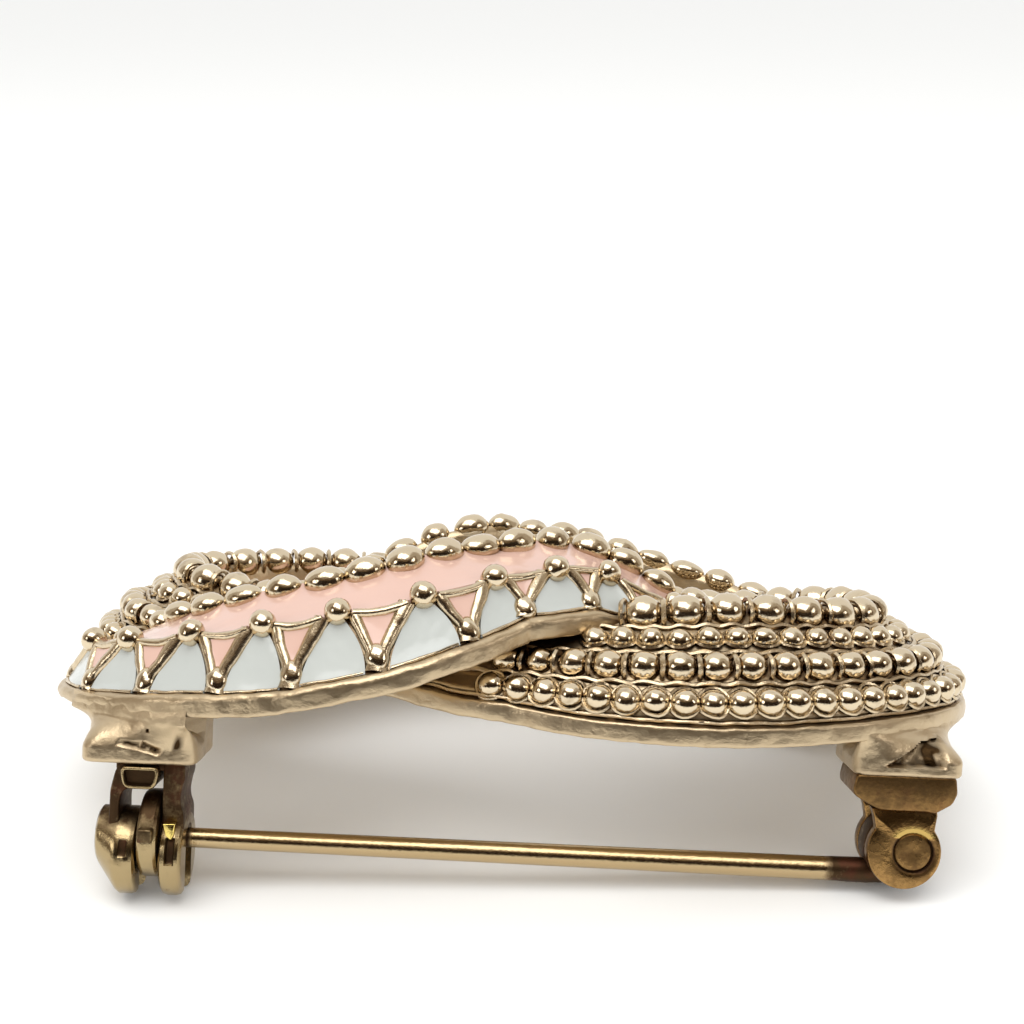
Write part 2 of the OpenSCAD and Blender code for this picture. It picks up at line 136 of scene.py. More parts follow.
# Enamelled band: the line that the strip's face follows, how far the strip's enamel runs under the
# beads and up to the wires, the line of balls, the wall and its cells
STRIP_LINE = (-1.8, 0.56)
STRIP_INNER = -2.4
STRIP_OUTER = 1.0
WIRE_ACROSS = 1.05
WIRE_SHARE = 0.71
WALL_FOOT = 2.62
FLOOR_DEPTH = 0.36
UNIT_COUNT = 30
UNIT_SHIFT = 0.35
BALL_SHARE, BALL_LIFT = 1.06, 0.35
BOSS_SHARE, BOSS_LIFT = 0.22, 0.18
# White cells are arches: half the width at the foot, in units, and how they close. The two wires
# between them rise from a column, part at V_SHARE of the wall, V_FOOT off the middle, and end
# V_HEAD off the middle
ARCH_HALF_WIDTH = 0.345
ARCH_POWER = 2.0
V_SHARE, V_FOOT, V_HEAD = 0.36, 0.07, 0.31
# Where the two wires come out of their column, as a share of the wall, their lift off its floor,
# their half height, and the polish of the wires, their columns and the ground between the cells
WIRE_START = 0.2
WIRE_LIFT = 0.24
WIRE_HALF_HEIGHT = 0.3
WIRE_POLISH = 0.75
STEM_POLISH = 0.7
GROUND_THICKNESS = 0.14
GROUND_POLISH = 0.45
# Enamel: its gap to the floor of its cell, how much deeper it is poured in the pink cells and
# shallower in the white ones, and how far it is drawn up between the edge beads
PAD_GAP = 0.03
PINK_PROUD = 0.06
WHITE_LOW = 0.06
SCALLOP = 0.04
# How far up the wall the white and the pink cells are filled, and how far the white reaches
# beyond its arch, under the ground beside it
WHITE_REACH = 0.95
PINK_REACH = 0.98
WHITE_BEYOND = 0.03
# Height of the plain edge under the cells, round each half turn: degrees and millimetres
PLAIN_EDGE = ((0, 0.5), (25, 0.5), (55, 1.1), (150, 1.1), (180, 0.5))

# Where the enamelled band's cells and strip show, in units from the start of each half turn
SHOWN_UNITS = (-1, 11)
STRIP_UNITS = (1.0, 12.75)
# What lies this far in under the other band is left out
HIDDEN_UNDER = 1.5


def linear(code):
    """Linear red, green, blue and alpha from an sRGB hex code."""
    parts = [int(code[i:i + 2], 16) / 255 for i in (1, 3, 5)]
    return (*[p / 12.92 if p <= 0.04045 else ((p + 0.055) / 1.055) ** 2.4 for p in parts], 1.0)


def paint(name, code, description):
    """A colour property with an sRGB default."""
    return FloatVectorProperty(name=name, description=description, subtype="COLOR", size=4,
                               min=0, max=1, default=linear(code))


def length(name, millimetres, description):
    """A length property with its default in millimetres."""
    return FloatProperty(name=name, description=description, subtype="DISTANCE", unit="LENGTH",
                         default=millimetres * MM, min=0, precision=5)


class BroochCasting(bpy.types.PropertyGroup):
    ball_diameter: length("Ball diameter", 1.4, "Balls at the tips of the white cells")
    boss_diameter: length("Boss diameter", 1.2, "Bosses at the lower tips of the pink cells")
    wire_width: length("Wire width", 0.66, "Width of the wires between the cells")
    cup_thickness: length("Cup thickness", 0.18, "Rim of the cup that each small bead sits in")
    lump_depth: length("Lump depth", 0.05, "How far the casting's surface strays from true")
    high_gold: paint("Gold", "#D8C7AA", "Polished high spots of the plating")
    satin_gold: paint("Satin gold", "#C5B191", "Plain faces, dulled by handling")
    # Worn gold fills the hollows that the occlusion node finds: partly bloom, partly painted shade.
    worn_and_shaded_gold: paint("Worn gold", "#6B5034", "Dull plating in the hollows")
    # The stain colour is real residue in the pits, and painted shade in the posts' sunk marks.
    stain_and_shade: paint("Stain", "#3A2A18", "Brown residue in the pits and slots")


class BroochEnamel(bpy.types.PropertyGroup):
    thickness: length("Thickness", 0.32, "Depth of the enamel in its cells")
    dish: length("Dish", 0.10, "How far the cured face sinks between its wires")
    pink: paint("Pink", "#D6B1A1", "Pink strip and small cells")
    white: paint("White", "#BABDB8", "White cells")


class BroochFindings(bpy.types.PropertyGroup):
    edge_radius: length("Edge radius", 0.12, "Rounding of the stamped edges")
    catch_metal: paint("Catch", "#A8946E", "Rubbed plating of the catch")
    hinge_metal: paint("Hinge", "#A4804E", "Rubbed brass of the hinge")
    tarnish: paint("Tarnish", "#4C3A28", "Browned brass")
    heat: paint("Heat tint", "#5E3A2C", "Reddish bloom in the tarnish")
    # Bare brass is fresh chips, and also the painted highlight above the hinge's rivet.
    bare_brass_and_highlight: paint("Bare brass", "#F0D67A", "Fresh chips in the plating")
    wire: paint("Pin wire", "#BAA37C", "Polished pin")


class BroochStudio(bpy.types.PropertyGroup):
    floor: paint("Floor", "#F4F4F2", "Pale floor")
    dark_corner: paint("Dark corner", "#2A1F16", "Darkest part of the room, behind the camera")
    brown_wall: paint("Brown wall", "#75624C", "Dim wall round the dark corner")
    grey_wall: paint("Grey wall", "#BDB3A6", "Half-lit wall and ceiling beyond it")
    room_light: FloatProperty(name="Room light", description="Brightness of the pale room",
                              default=1.0, min=0, max=3)
    lens: FloatProperty(name="Lens", description="Focal length in millimetres", default=56.25,
                        min=10, max=200)


def settle(points):
    """Points of the flat brooch in millimetres, as metres in the frame."""
    turn = np.array(TURN)
    return np.asarray(points, float) @ turn.T * MM + np.array(ORIGIN)


class Band:
    """Middle line, sideways direction, heights and rough cover of one band."""

    TRAVEL_STEP = 0.25

    def __init__(self, stations, cover):
        rows = np.array(stations)
        lap = np.array([HALF_TURN, 0, 0, 0])
        self.stations = np.vstack([rows[-1:] - lap, rows, rows[:2] + lap])
        self.cover = np.transpose(cover)
        self.angles = np.arange(0, 360 + self.TRAVEL_STEP, self.TRAVEL_STEP)
        steps = np.linalg.norm(np.diff(self.middle(self.angles), axis=0), axis=1)
        self.travel = np.concatenate([[0], np.cumsum(steps)])

    def station(self, angles, column):
        """Smooth curve through the stations of one column."""
        place, value = self.stations[:, ANGLE], self.stations[:, column]
        turned = np.mod(np.asarray(angles, float), HALF_TURN)
        i = np.searchsorted(place, turned, side="right") - 1
        span = place[i + 1] - place[i]
        t = (turned - place[i]) / span
        change = value[i + 1] - value[i]
        first_bend = (value[i + 1] - value[i - 1]) / (place[i + 1] - place[i - 1]) * span - change
        last_bend = change - (value[i + 2] - value[i]) / (place[i + 2] - place[i]) * span
        return value[i] + change * t + t * (1 - t) * ((1 - t) * first_bend + t * last_bend)

    def middle(self, angles):
        swing = LANE_SWING * self.station(angles, LANE)
        cos, sin = np.cos(np.radians(angles)), np.sin(np.radians(angles))
        return np.stack([
            (OVAL_HALF_LENGTH + swing) * np.sign(cos) * np.abs(cos) ** OVAL_POWER,
            (OVAL_HALF_DEPTH + swing) * np.sign(sin) * np.abs(sin) ** OVAL_POWER], axis=-1)

    def angle_at(self, share):
        """Angle round the oval at a share of the way along."""
        return np.interp(np.mod(share, 1) * self.travel[-1], self.travel, self.angles)

    def side(self, share):
        """Direction away from the middle of the brooch, square to the band."""
        angle = self.angle_at(share)
        run = self.middle(angle + 0.5) - self.middle(angle - 0.5)
        away = np.stack([run[..., 1], -run[..., 0]], axis=-1)
        away /= np.linalg.norm(away, axis=-1, keepdims=True)
        return np.concatenate([away, np.zeros_like(away[..., :1])], axis=-1)

    def base(self, share):
        return self.station(self.angle_at(share), BASE)

    def top(self, share):
        return self.station(self.angle_at(share), TOP)

    def place(self, share, across, height):
        """Points at shares of the way round, across the band and up."""
        share, across, height = np.broadcast_arrays(share, across, height)
        flat = self.middle(self.angle_at(share)) + across[..., None] * self.side(share)[..., :2]
        return np.concatenate([flat, height[..., None]], axis=-1)

    def stand(self, shares, outline):
        """Rings of points: an outline stood across the band at each of its shares."""
        return self.place(shares[:, None], outline[..., 0], outline[..., 1])

    def row(self, share, across, height_share):
        """Points on a row, at a share of the band's height."""
        base = self.base(share)
        return self.place(share, across, base + height_share * (self.top(share) - base))

    def spread(self, across, height_share, pitch):
        """Shares of beads set evenly along a row, about a pitch apart."""
        fine = np.linspace(0, 1, 1441)
        line = self.row(fine, across, height_share)
        run = np.concatenate([[0], np.cumsum(np.linalg.norm(np.diff(line, axis=0), axis=1))])
        count = round(run[-1] / pitch)
        return np.interp(np.arange(count) / count * run[-1], run, fine)

    def nearest(self, points):
        """Share of the way round nearest to each point, and how far across the band it lies."""
        fine = np.arange(720) / 720
        middle = self.middle(self.angle_at(fine))
        gap = points[:, None, :2] - middle[None]
        near = np.argmin((gap ** 2).sum(-1), axis=1)
        share = fine[near]
        return share, ((points[:, :2] - middle[near]) * self.side(share)[:, :2]).sum(-1)

    def buried(self, points, under=0.0):
        """Whether points lie in this band, or further under it than a distance."""
        share, across = self.nearest(points)
        base, top = self.base(share), self.top(share)
        level = base + np.interp(across, *self.cover) * (top - base)
        inside = (np.abs(across) < HALF_WIDTH) & (points[:, 2] < level) & (points[:, 2] > base)
        return inside | ((np.abs(across) < HALF_WIDTH - under) & (points[:, 2] <= base))


# A rough outline over each band, across and as a share of its height, tells what is buried in it
ENAMELLED = Band(ENAMELLED_STATIONS, (
    (-3, 0.8), (-2.4, 0.92), (-1.8, 0.82), (1.0, 0.72), (2.6, 0.22), (3, 0.16)))
BEADED = Band(BEADED_STATIONS, (
    (-3, 0.85), (-2.2, 0.98), (-0.75, 0.78), (0.9, 0.6), (2.15, 0.36), (3, 0.12)))


def grid_faces(count, size, closed):
    """Faces of a sweep through rings of equally many points, perhaps closed on itself."""
    k, j = np.meshgrid(np.arange(count if closed else count - 1), np.arange(size), indexing="ij")
    after, beside = (k + 1) % count * size, (j + 1) % size
    quads = np.stack([k * size + j, k * size + beside, after + beside, after + j], -1)
    return quads.reshape(-1, 4)


class Casting:
    """Points, faces and polish of one mesh, gathered in millimetres of the flat brooch. Polish
    runs from -1 in dark hollows through 0 on dull metal to 1 on bright high spots. The dark
    hollows are partly stained and partly painted shade, and polish above 1 paints bare brass,
    in one place as a painted highlight."""

    STRAY_SIZE = 0.7
    STRAY_SEED = 1

    def __init__(self):
        self.points, self.polish, self.faces, self.count = [], [], [], 0

    def add(self, points, faces, polish):
        points = np.asarray(points, float).reshape(-1, 3)
        self.points.append(points)
        self.polish.append(np.broadcast_to(np.ravel(polish), len(points)))
        for group in faces:
            self.faces += (group + self.count).tolist()
        self.count += len(points)

    def skin(self, rings, polish, closed=False):
        """A sweep through rings of equally many points, closed on itself or capped."""
        count, size = np.shape(rings)[:2]
        faces = [grid_faces(count, size, closed)]
        if not closed:
            faces += [np.arange(size)[None, ::-1], np.arange(size)[None] + (count - 1) * size]
        self.add(rings, faces, polish)

    def copies(self, form, centres, axes, polish):
        """Copies of a unit form at centres, its axes turned and scaled to the given ones."""
        points, groups = form
        placed = centres[:, None] + np.einsum("pk,nkx->npx", points, axes)
        offsets = np.arange(len(centres)) * len(points)
        faces = [(group[None] + offsets[:, None, None]).reshape(-1, group.shape[1])
                 for group in groups]
        self.add(placed, faces, polish)

    def mesh_object(self, name, smooth_angle, stray=0.0):
        """The gathered mesh as an object, settled into the frame, with its points strayed."""
        points = np.concatenate(self.points)
        if stray:
            noise.seed_set(self.STRAY_SEED)
            points = points + stray * np.array([noise.noise_vector(Vector(p) / self.STRAY_SIZE)
                                                for p in points])
        mesh = bpy.data.meshes.new(name)
        mesh.from_pydata(settle(points).tolist(), [], self.faces)
        tidy = bmesh.new()
        tidy.from_mesh(mesh)
        bmesh.ops.recalc_face_normals(tidy, faces=tidy.faces)
        tidy.to_mesh(mesh)
        tidy.free()
        layer = mesh.attributes.new("polish", "FLOAT", "POINT")
        layer.data.foreach_set("value", np.concatenate(self.polish).astype(np.float32))
        mesh.shade_smooth()
        mesh.set_sharp_from_angle(angle=math.radians(smooth_angle))
        piece = bpy.data.objects.new(name, mesh)
        bpy.context.scene.collection.objects.link(piece)
        return piece


def whole_turn(steps):
    """Angles of even steps round a circle."""
    return 2 * np.pi * np.arange(steps) / steps


def bead_form(around, down):
    """A unit sphere, as its points and its groups of faces."""
    slopes = np.pi * np.arange(1, down) / down
    rings = [[math.sin(s) * math.cos(t), math.sin(s) * math.sin(t), math.cos(s)]
             for s in slopes for t in whole_turn(around)]
    points = np.array([[0, 0, 1], *rings, [0, 0, -1]])
    last = len(points) - 1
    foot = last - around
    fans = [[0, 1 + (j + 1) % around, 1 + j] for j in range(around)]
    fans += [[last, foot + j, foot + (j + 1) % around] for j in range(around)]
    return points, [1 + grid_faces(down - 1, around, False), np.array(fans)]


def ring_form(thickness):
    """A thin ring of unit radius, as its points and its groups of faces."""
    around, sides = 18, 5
    a, b = np.meshgrid(whole_turn(around), whole_turn(sides), indexing="ij")
    reach = 1 + thickness / 2 * np.cos(b)
    points = np.stack([reach * np.cos(a), reach * np.sin(a), thickness / 2 * np.sin(b)], -1)
    return points.reshape(-1, 3), [grid_faces(around, sides, True)]


def unit(vectors):
    """The vectors at length one."""
    return vectors / np.linalg.norm(vectors, axis=-1, keepdims=True)


def smooth_outline(outline):
    """Cuts the corners of open outlines twice over, stacked as (rings, points, 2)."""
    for _ in range(2):
        near, far = outline[:, :-1], outline[:, 1:]
        cut = np.stack([0.75 * near + 0.25 * far, 0.25 * near + 0.75 * far], axis=2)
        cut = cut.reshape(len(outline), -1, 2)
        outline = np.concatenate([outline[:, :1], cut, outline[:, -1:]], axis=1)
    return outline


def stack_outline(pairs, count):
    """Pairs of across and height, each a number or one value a ring, as (rings, points, 2)."""
    columns = [np.stack([np.broadcast_to(across, count), np.broadcast_to(height, count)], -1)
               for across, height in pairs]
    return np.stack(columns, axis=1)


def tube(casting, centres, outward, half_widths, half_heights, polish):
    """A rounded wire along centres, with its height towards outward."""
    run = unit(np.gradient(centres, axis=0))
    width = unit(np.cross(run, outward))
    height = unit(np.cross(width, run))
    turns = whole_turn(10)[None, :, None]
    half_widths = np.broadcast_to(half_widths, len(centres))[:, None, None]
    half_heights = np.broadcast_to(half_heights, len(centres))[:, None, None]
    rings = centres[:, None] + half_widths * np.cos(turns) * width[:, None] \
        + half_heights * np.sin(turns) * height[:, None]
    casting.skin(rings, polish)


def lumps(points, size, seed):
    """Slow noise from -1 to 1 at points in millimetres."""
    shift = Vector((seed * 17.3, seed * 5.1, seed * 9.7))
    return np.array([noise.noise(Vector(p) / size + shift) for p in points])


# Beaded band


def seat_outline(base, rise):
    """Where the four rows sit on the body, and the valleys between them, across and up."""
    seats = [(across, base + share * rise) for across, share, *_ in BEAD_ROWS]
    valleys = [(0.5 * (near_x + far_x) + 0.03, 0.5 * (near_z + far_z) + 0.06)
               for (near_x, near_z), (far_x, far_z) in zip(seats, seats[1:])]
    return seats, valleys


def cast_skin(rings, depth, seed):
    """Strays a swept surface from true, mostly up and down, the way a rough mould leaves it."""
    size = 0.9
    shape = rings.reshape(-1, 3)
    push = depth * (lumps(shape, size, seed) + 0.5 * lumps(shape, size / 3, seed + 1))
    return (shape + push[:, None] * np.array([0.3, 0.3, 0.9])).reshape(rings.shape)


def body_polish(loops, outline, seed):
    """Polish of a band's body: satin outside, browned in patches round the open middle."""
    stain_and_shade = lumps(loops.reshape(-1, 3), 2.2, seed).reshape(loops.shape[:2])
    inner_wall = outline[..., 0] < 0.05 - HALF_WIDTH
    return np.where(inner_wall, 0.05 - 0.9 * np.clip(stain_and_shade, 0, 1), 0.3)


def beaded_body(casting, sizes):
    """The band that the rows of beads are sunk in, with its plain lumpy walls."""
    shares = np.arange(BEADED_RINGS) / BEADED_RINGS
    base, top = BEADED.base(shares), BEADED.top(shares)
    rise = top - base
    seats, valleys = seat_outline(base, rise)
    pairs = [(-HALF_WIDTH, base), (-HALF_WIDTH, base + 0.25 * rise),
             (-HALF_WIDTH, base + 0.5 * rise), (-HALF_WIDTH + 0.03, base + 0.75 * rise),
             (-HALF_WIDTH + 0.2, base + 0.92 * rise), (seats[0][0], seats[0][1] + 0.12)]
    for valley, (across, height) in zip(valleys, seats[1:]):
        pairs += [valley, (across + 0.05, height + 0.1)]
    edge = base + PLINTH_HEIGHT
    pairs += [(HALF_WIDTH - 0.45, edge + 0.3), (HALF_WIDTH - 0.52, edge + 0.02),
              (HALF_WIDTH - 0.3, edge - 0.1), (HALF_WIDTH - 0.05, edge - 0.14),
              (HALF_WIDTH, edge - 0.4), (HALF_WIDTH, base + 0.35), (HALF_WIDTH - 0.02, base + 0.1),
              (HALF_WIDTH - 0.12, base)]
    pairs += [(across, base) for across in UNDERSIDE]
    outline = smooth_outline(stack_outline(pairs, BEADED_RINGS))
    loops = BEADED.stand(shares, outline)
    casting.skin(cast_skin(loops, 0.6 * sizes.lump_depth / MM, 21),
                 body_polish(loops, outline, 24), closed=True)


def bead_frames(band, shares, across, height_share, facing):
    """Centres of a row's beads, and their directions along, beside and out of the band."""
    centres = band.row(shares, across, height_share)
    along = unit(band.row(shares + 0.001, across, height_share) - centres)
    facing = math.radians(facing)
    out = math.cos(facing) * band.side(shares) + math.sin(facing) * np.array([0, 0, 1.0])
    out = unit(out - (out * along).sum(-1, keepdims=True) * along)
    return centres, along, np.cross(out, along), out


def in_sight(other, frames, lift):
    """The frames that the other band doesn't hide, looked for a little way out of each."""
    centres, *_, out = frames
    hidden = other.buried(centres + lift * out, HIDDEN_UNDER)
    return [values[~hidden] for values in frames]


def row_frames(row, shares):
    """Frames of a row's places that the enamelled band leaves in sight."""
    across, height_share, radius, facing, _ = row
    frames = bead_frames(BEADED, shares, across, height_share, facing)
    return in_sight(ENAMELLED, frames, 0.6 * radius)


def beaded_rows(casting, sizes):
    """Four rows of round beads, each in its cup or with a turned ring beside it."""
    draw = np.random.default_rng(7)
    for index, row in enumerate(BEAD_ROWS):
        across, height_share, radius, _, pitch = row
        shares = BEADED.spread(across, height_share, pitch)
        centres, along, beside, out = row_frames(row, shares)
        stray = BEAD_STRAY * draw.normal(size=centres.shape)
        size = radius * (1 + BEAD_VARY * draw.normal(size=(len(centres), 1)))
        casting.copies(bead_form(22, 12) if index == 0 else bead_form(16, 9),
                       centres + stray + BEAD_LIFT * out,
                       np.stack([BEAD_LENGTH * along * size, beside * size, out * size], axis=1), 1)

        turned = index in TURNED_RING_ROWS
        share, lift, thickness = TURNED_RING if turned else CUP
        if turned:
            shares = (shares + np.append(shares[1:], 1 + shares[0])) / 2
        centres, along, beside, out = row_frames(row, shares)
        axes = [beside, out, along] if turned else [along, beside, out]
        grown = share * radius
        casting.copies(ring_form(thickness * sizes.cup_thickness / MM / grown),
                       centres + lift * out, np.stack(axes, axis=1) * grown, RING_POLISH)


def row_ridges(casting):
    """Wavy ridges in the valleys between the rows, and the thin line over the plain foot."""
    shares = np.arange(1100) / 1100
    base, top = BEADED.base(shares), BEADED.top(shares)
    valleys = seat_outline(base, top - base)[1]
    turns = whole_turn(7)
    ridges = [(valley, RIDGE_RADIUS, row[-1], RIDGE_SWING)
              for valley, row in zip(valleys, BEAD_ROWS[1:])]
    ridges.append(((HALF_WIDTH - 0.42, base + PLINTH_HEIGHT + 0.02), *FOOT_LINE))
    for (across, height), radius, pitch, swing in ridges:
        wave = swing * np.cos(2 * np.pi * shares * BEADED.travel[-1] / pitch)
        level = (height + RIDGE_LIFT + wave)[:, None]
        outline = np.stack([across + RIDGE_LIFT + radius * np.cos(turns) + 0 * level,
                            level + radius * np.sin(turns)], axis=-1)
        casting.skin(BEADED.stand(shares, outline), 0.5, closed=True)


# Enamelled band


def plain_edge(share):
    """Height of the plain edge under the cells, lower at the band's ends."""
    return np.interp(np.mod(ENAMELLED.angle_at(share), HALF_TURN), *np.transpose(PLAIN_EDGE))


def wire_height(base, top):
    """Height of the line of balls."""
    return base + WIRE_SHARE * (top - base)


def strip_height(base, top, across):
    """Height of the strip's face, from the line of balls up to the edge beads."""
    low, high = wire_height(base, top) + 0.08, top - 0.55
    inner, outer = STRIP_LINE
    return low + (outer - across) / (outer - inner) * (high - low)


def wall_place(base, top, plain, share, lift):
    """Across and height on the wall: a share of the way up it, and a distance off its floor."""
    foot_x, foot_z = WALL_FOOT - FLOOR_DEPTH, base + plain
    head_x, head_z = WIRE_ACROSS, wire_height(base, top) - 0.3
    run = np.hypot(head_x - foot_x, head_z - foot_z)
    slope_x, slope_z = (head_x - foot_x) / run, (head_z - foot_z) / run
    return (foot_x + share * (head_x - foot_x) + lift * slope_z,
            foot_z + share * (head_z - foot_z) - lift * slope_x)


def wall_points(units, share, lift):
    """Points on the enamelled wall, at numbers of units round the band."""
    shares = (np.asarray(units, float) + UNIT_SHIFT) / UNIT_COUNT
    base, top = ENAMELLED.base(shares), ENAMELLED.top(shares)
    across, height = wall_place(base, top, plain_edge(shares), share, lift)
    return ENAMELLED.place(shares, across, height)


def wall_outward(units):
    """Direction out of the enamelled wall."""
    return unit(wall_points(units, 0.5, 1.0) - wall_points(units, 0.5, 0.0))


def shown_units():
    """Units of both half turns that may show."""
    return [half * UNIT_COUNT // 2 + unit_index
            for half in (0, 1) for unit_index in range(*SHOWN_UNITS)]


def enamelled_body(casting, sizes):
    """The band under the enamel, with its strip channel, wall and plain edge."""
    shares = np.arange(ENAMELLED_RINGS) / ENAMELLED_RINGS
    base, top = ENAMELLED.base(shares), ENAMELLED.top(shares)
    rise = top - base
    wire = wire_height(base, top)
    low = strip_height(base, top, STRIP_OUTER) - FLOOR_DEPTH
    high = strip_height(base, top, STRIP_INNER) - FLOOR_DEPTH
    plain = plain_edge(shares)
    edge = base + plain
    pairs = [(-HALF_WIDTH, base), (-HALF_WIDTH, base + 0.3 * rise),
             (-HALF_WIDTH, base + 0.6 * rise), (-HALF_WIDTH + 0.02, top - 0.8),
             (-HALF_WIDTH + 0.2, top - 0.45), (STRIP_INNER - 0.15, high + 0.45),
             (STRIP_INNER, high + 0.1), (STRIP_INNER + 0.1, high), (STRIP_OUTER - 0.1, low),
             (STRIP_OUTER, wire - 0.3), wall_place(base, top, plain, 1.0, 0.05),
             wall_place(base, top, plain, 0.96, 0), wall_place(base, top, plain, 0.5, 0),
             wall_place(base, top, plain, 0.04, 0), (WALL_FOOT - 0.22, edge - 0.02),
             (WALL_FOOT - 0.1, edge + 0.1), (WALL_FOOT + 0.14, edge + 0.08),
             (HALF_WIDTH - 0.05, edge - 0.1), (HALF_WIDTH, edge - 0.3),
             (HALF_WIDTH, base + 0.4 * plain), (HALF_WIDTH - 0.02, base + 0.12),
             (HALF_WIDTH - 0.12, base)]
    pairs += [(across, base) for across in UNDERSIDE]
    outline = smooth_outline(stack_outline(pairs, ENAMELLED_RINGS))
    loops = ENAMELLED.stand(shares, outline)
    casting.skin(cast_skin(loops, 0.5 * sizes.lump_depth / MM, 31),
                 body_polish(loops, outline, 34), closed=True)


def edge_beads(casting):
    """Long uneven beads along the inner edge, half sunk in the enamel."""
    draw = np.random.default_rng(11)
    shares = ENAMELLED.spread(EDGE_ACROSS, EDGE_SHARE, EDGE_PITCH)
    shares = shares + EDGE_STRAY * draw.normal(size=len(shares))
    base, top = ENAMELLED.base(shares), ENAMELLED.top(shares)
    level = (top - EDGE_SUNK - base) / (top - base)
    frames = bead_frames(ENAMELLED, shares, EDGE_ACROSS, level, EDGE_FACING)
    centres, along, beside, out = in_sight(BEADED, frames, 0.3)
    long, wide, high = (size * (1 + EDGE_VARY * draw.normal(size=(len(centres), 1)))
                        for size in EDGE_SIZE)
    casting.copies(bead_form(22, 12), centres,
                   np.stack([along * long, beside * wide, out * high], axis=1), 1)


def arch_side(share):
    """Half the width of a white cell, in units."""
    return ARCH_HALF_WIDTH * (1 - share ** ARCH_POWER)


def wall_pad(casting, middle, shares, halves, thickness, dish, polish=1):
    """A closed pad on the wall, of half widths at shares of its height, with a dished face."""
    p = np.linspace(-1, 1, 9)
    rings = []
    for share, half, t in zip(shares, halves, np.linspace(0, 1, len(shares))):
        fall = dish * (1 - p ** 2) * (1 - (2 * t - 1) ** 4)
        face = wall_points(middle + p * half, share, PAD_GAP + thickness - fall)
        back = wall_points(middle + p[::-1] * half, share, PAD_GAP)
        rings.append(np.concatenate([face, back]))
    rings = np.array(rings)
    if not BEADED.buried(rings.reshape(-1, 3)).all():
        casting.skin(rings, polish)


def cell_wires(casting, sizes):
    """The ground between the white cells, the wires round each pink one, and the column under
    them, then the balls and the bosses."""
    draw = np.random.default_rng(5)
    half_width = sizes.wire_width / MM / 2
    steps, ground = np.linspace(0, 1, 11), np.linspace(0, 1, 13)
    for start in shown_units():
        if BEADED.buried(wall_points(start + 0 * steps, steps, 0.3), HIDDEN_UNDER).all():
            continue
        out = wall_outward(np.array([float(start)]))
        wall_pad(casting, start, ground, 0.5 - arch_side(ground), GROUND_THICKNESS, 0.0,
                 GROUND_POLISH)
        # Two wires rise from the column and part round the pink cell, each a little uneven
        rise = WIRE_START + (1 - WIRE_START) * ground
        apart = np.interp(rise, (WIRE_START, V_SHARE, 1), (0.8 * V_FOOT, V_FOOT, V_HEAD))
        for way in (-1, 1):
            size = (1 + 0.08 * way) * (1 + 0.06 * draw.normal()) * (0.75 + 0.5 * rise)
            tube(casting, wall_points(start + way * apart, rise, WIRE_LIFT), out,
                 half_width * size, WIRE_HALF_HEIGHT, WIRE_POLISH)
        # The column narrows upwards and dives under the pink enamel
        share = (V_SHARE + 0.06) * ground
        tube(casting, wall_points(start + 0 * ground, share, 0.1), out,
             half_width * (2.0 - 0.4 * np.sin(np.pi * ground)) * (1 - 0.5 * ground ** 6),
             0.42 - 0.38 * ground ** 4, STEM_POLISH)
        # A bar along the top of the pink cell sags between the balls, and a thin one lies along
        # the foot of the white cell
        sag = 0.99 - 0.05 * np.sin(np.pi * steps)
        tube(casting, wall_points(start - V_HEAD + 2 * V_HEAD * steps, sag, 0.26), out, 0.24, 0.3,
             WIRE_POLISH)
        tube(casting, wall_points(start + 0.14 + 0.72 * steps, 0.02, 0.1),
             wall_outward(np.array([start + 0.5])), 0.12, 0.26, STEM_POLISH)
    units = np.array(shown_units())
    ball, boss = sizes.ball_diameter / MM / 2, sizes.boss_diameter / MM / 2
    round_spots(casting, units + 0.5, BALL_SHARE, BALL_LIFT, (ball, ball, ball))
    round_spots(casting, units, BOSS_SHARE, BOSS_LIFT, (boss, 1.25 * boss, 0.75 * boss))


def round_spots(casting, units, share, lift, radii):
    """Rounded balls on the wall, with radii along the band, up the wall and out of it."""
    frames = (wall_points(units, share, lift), units, wall_outward(units))
    centres, units, out = in_sight(BEADED, frames, 0.6 * radii[2])
    along = unit(wall_points(units + 0.05, share, lift) - centres)
    up = np.cross(out, along)
    axes = np.stack([along * radii[0], up * radii[1], out * radii[2]], axis=1)
    casting.copies(bead_form(20, 11), centres, axes, 1)


# Enamel


def strip_pad(casting, half, enamel):
    """The long strip of one half turn, drawn up against the edge beads and the bars."""
    units = half * UNIT_COUNT / 2 + np.arange(STRIP_UNITS[0], STRIP_UNITS[1], 0.05)
    shares = (units + UNIT_SHIFT) / UNIT_COUNT
    base, top = ENAMELLED.base(shares), ENAMELLED.top(shares)
    thickness, dish = enamel.thickness / MM, enamel.dish / MM
    place = np.linspace(-1, 1, 17)
    across = STRIP_INNER + (place + 1) / 2 * (STRIP_OUTER - STRIP_INNER)
    beads = ENAMELLED.travel[-1] / EDGE_PITCH
    scallop = SCALLOP * np.cos(2 * np.pi * shares * beads)
    back = [(x, strip_height(base, top, x) - FLOOR_DEPTH + PAD_GAP) for x in across]
    face = [(x, floor + thickness - dish * (1 - s ** 4) + scallop * max(0.0, -s))
            for (x, floor), s in zip(back, place)]
    outline = stack_outline(face + [back[-1], back[0]], len(shares))
    casting.skin(ENAMELLED.stand(shares, outline), 1)


# Posts


def fine_loop(outline, spacing):
    """A closed outline with its sides cut into steps no longer than a spacing."""
    points = []
    for k, point in enumerate(outline):
        after = outline[(k + 1) % len(outline)]
        cuts = max(1, round(math.dist(point, after) / spacing))
        points += [[point[0] + (after[0] - point[0]) * c / cuts,
                    point[1] + (after[1] - point[1]) * c / cuts] for c in range(cuts)]
    return np.array(points)


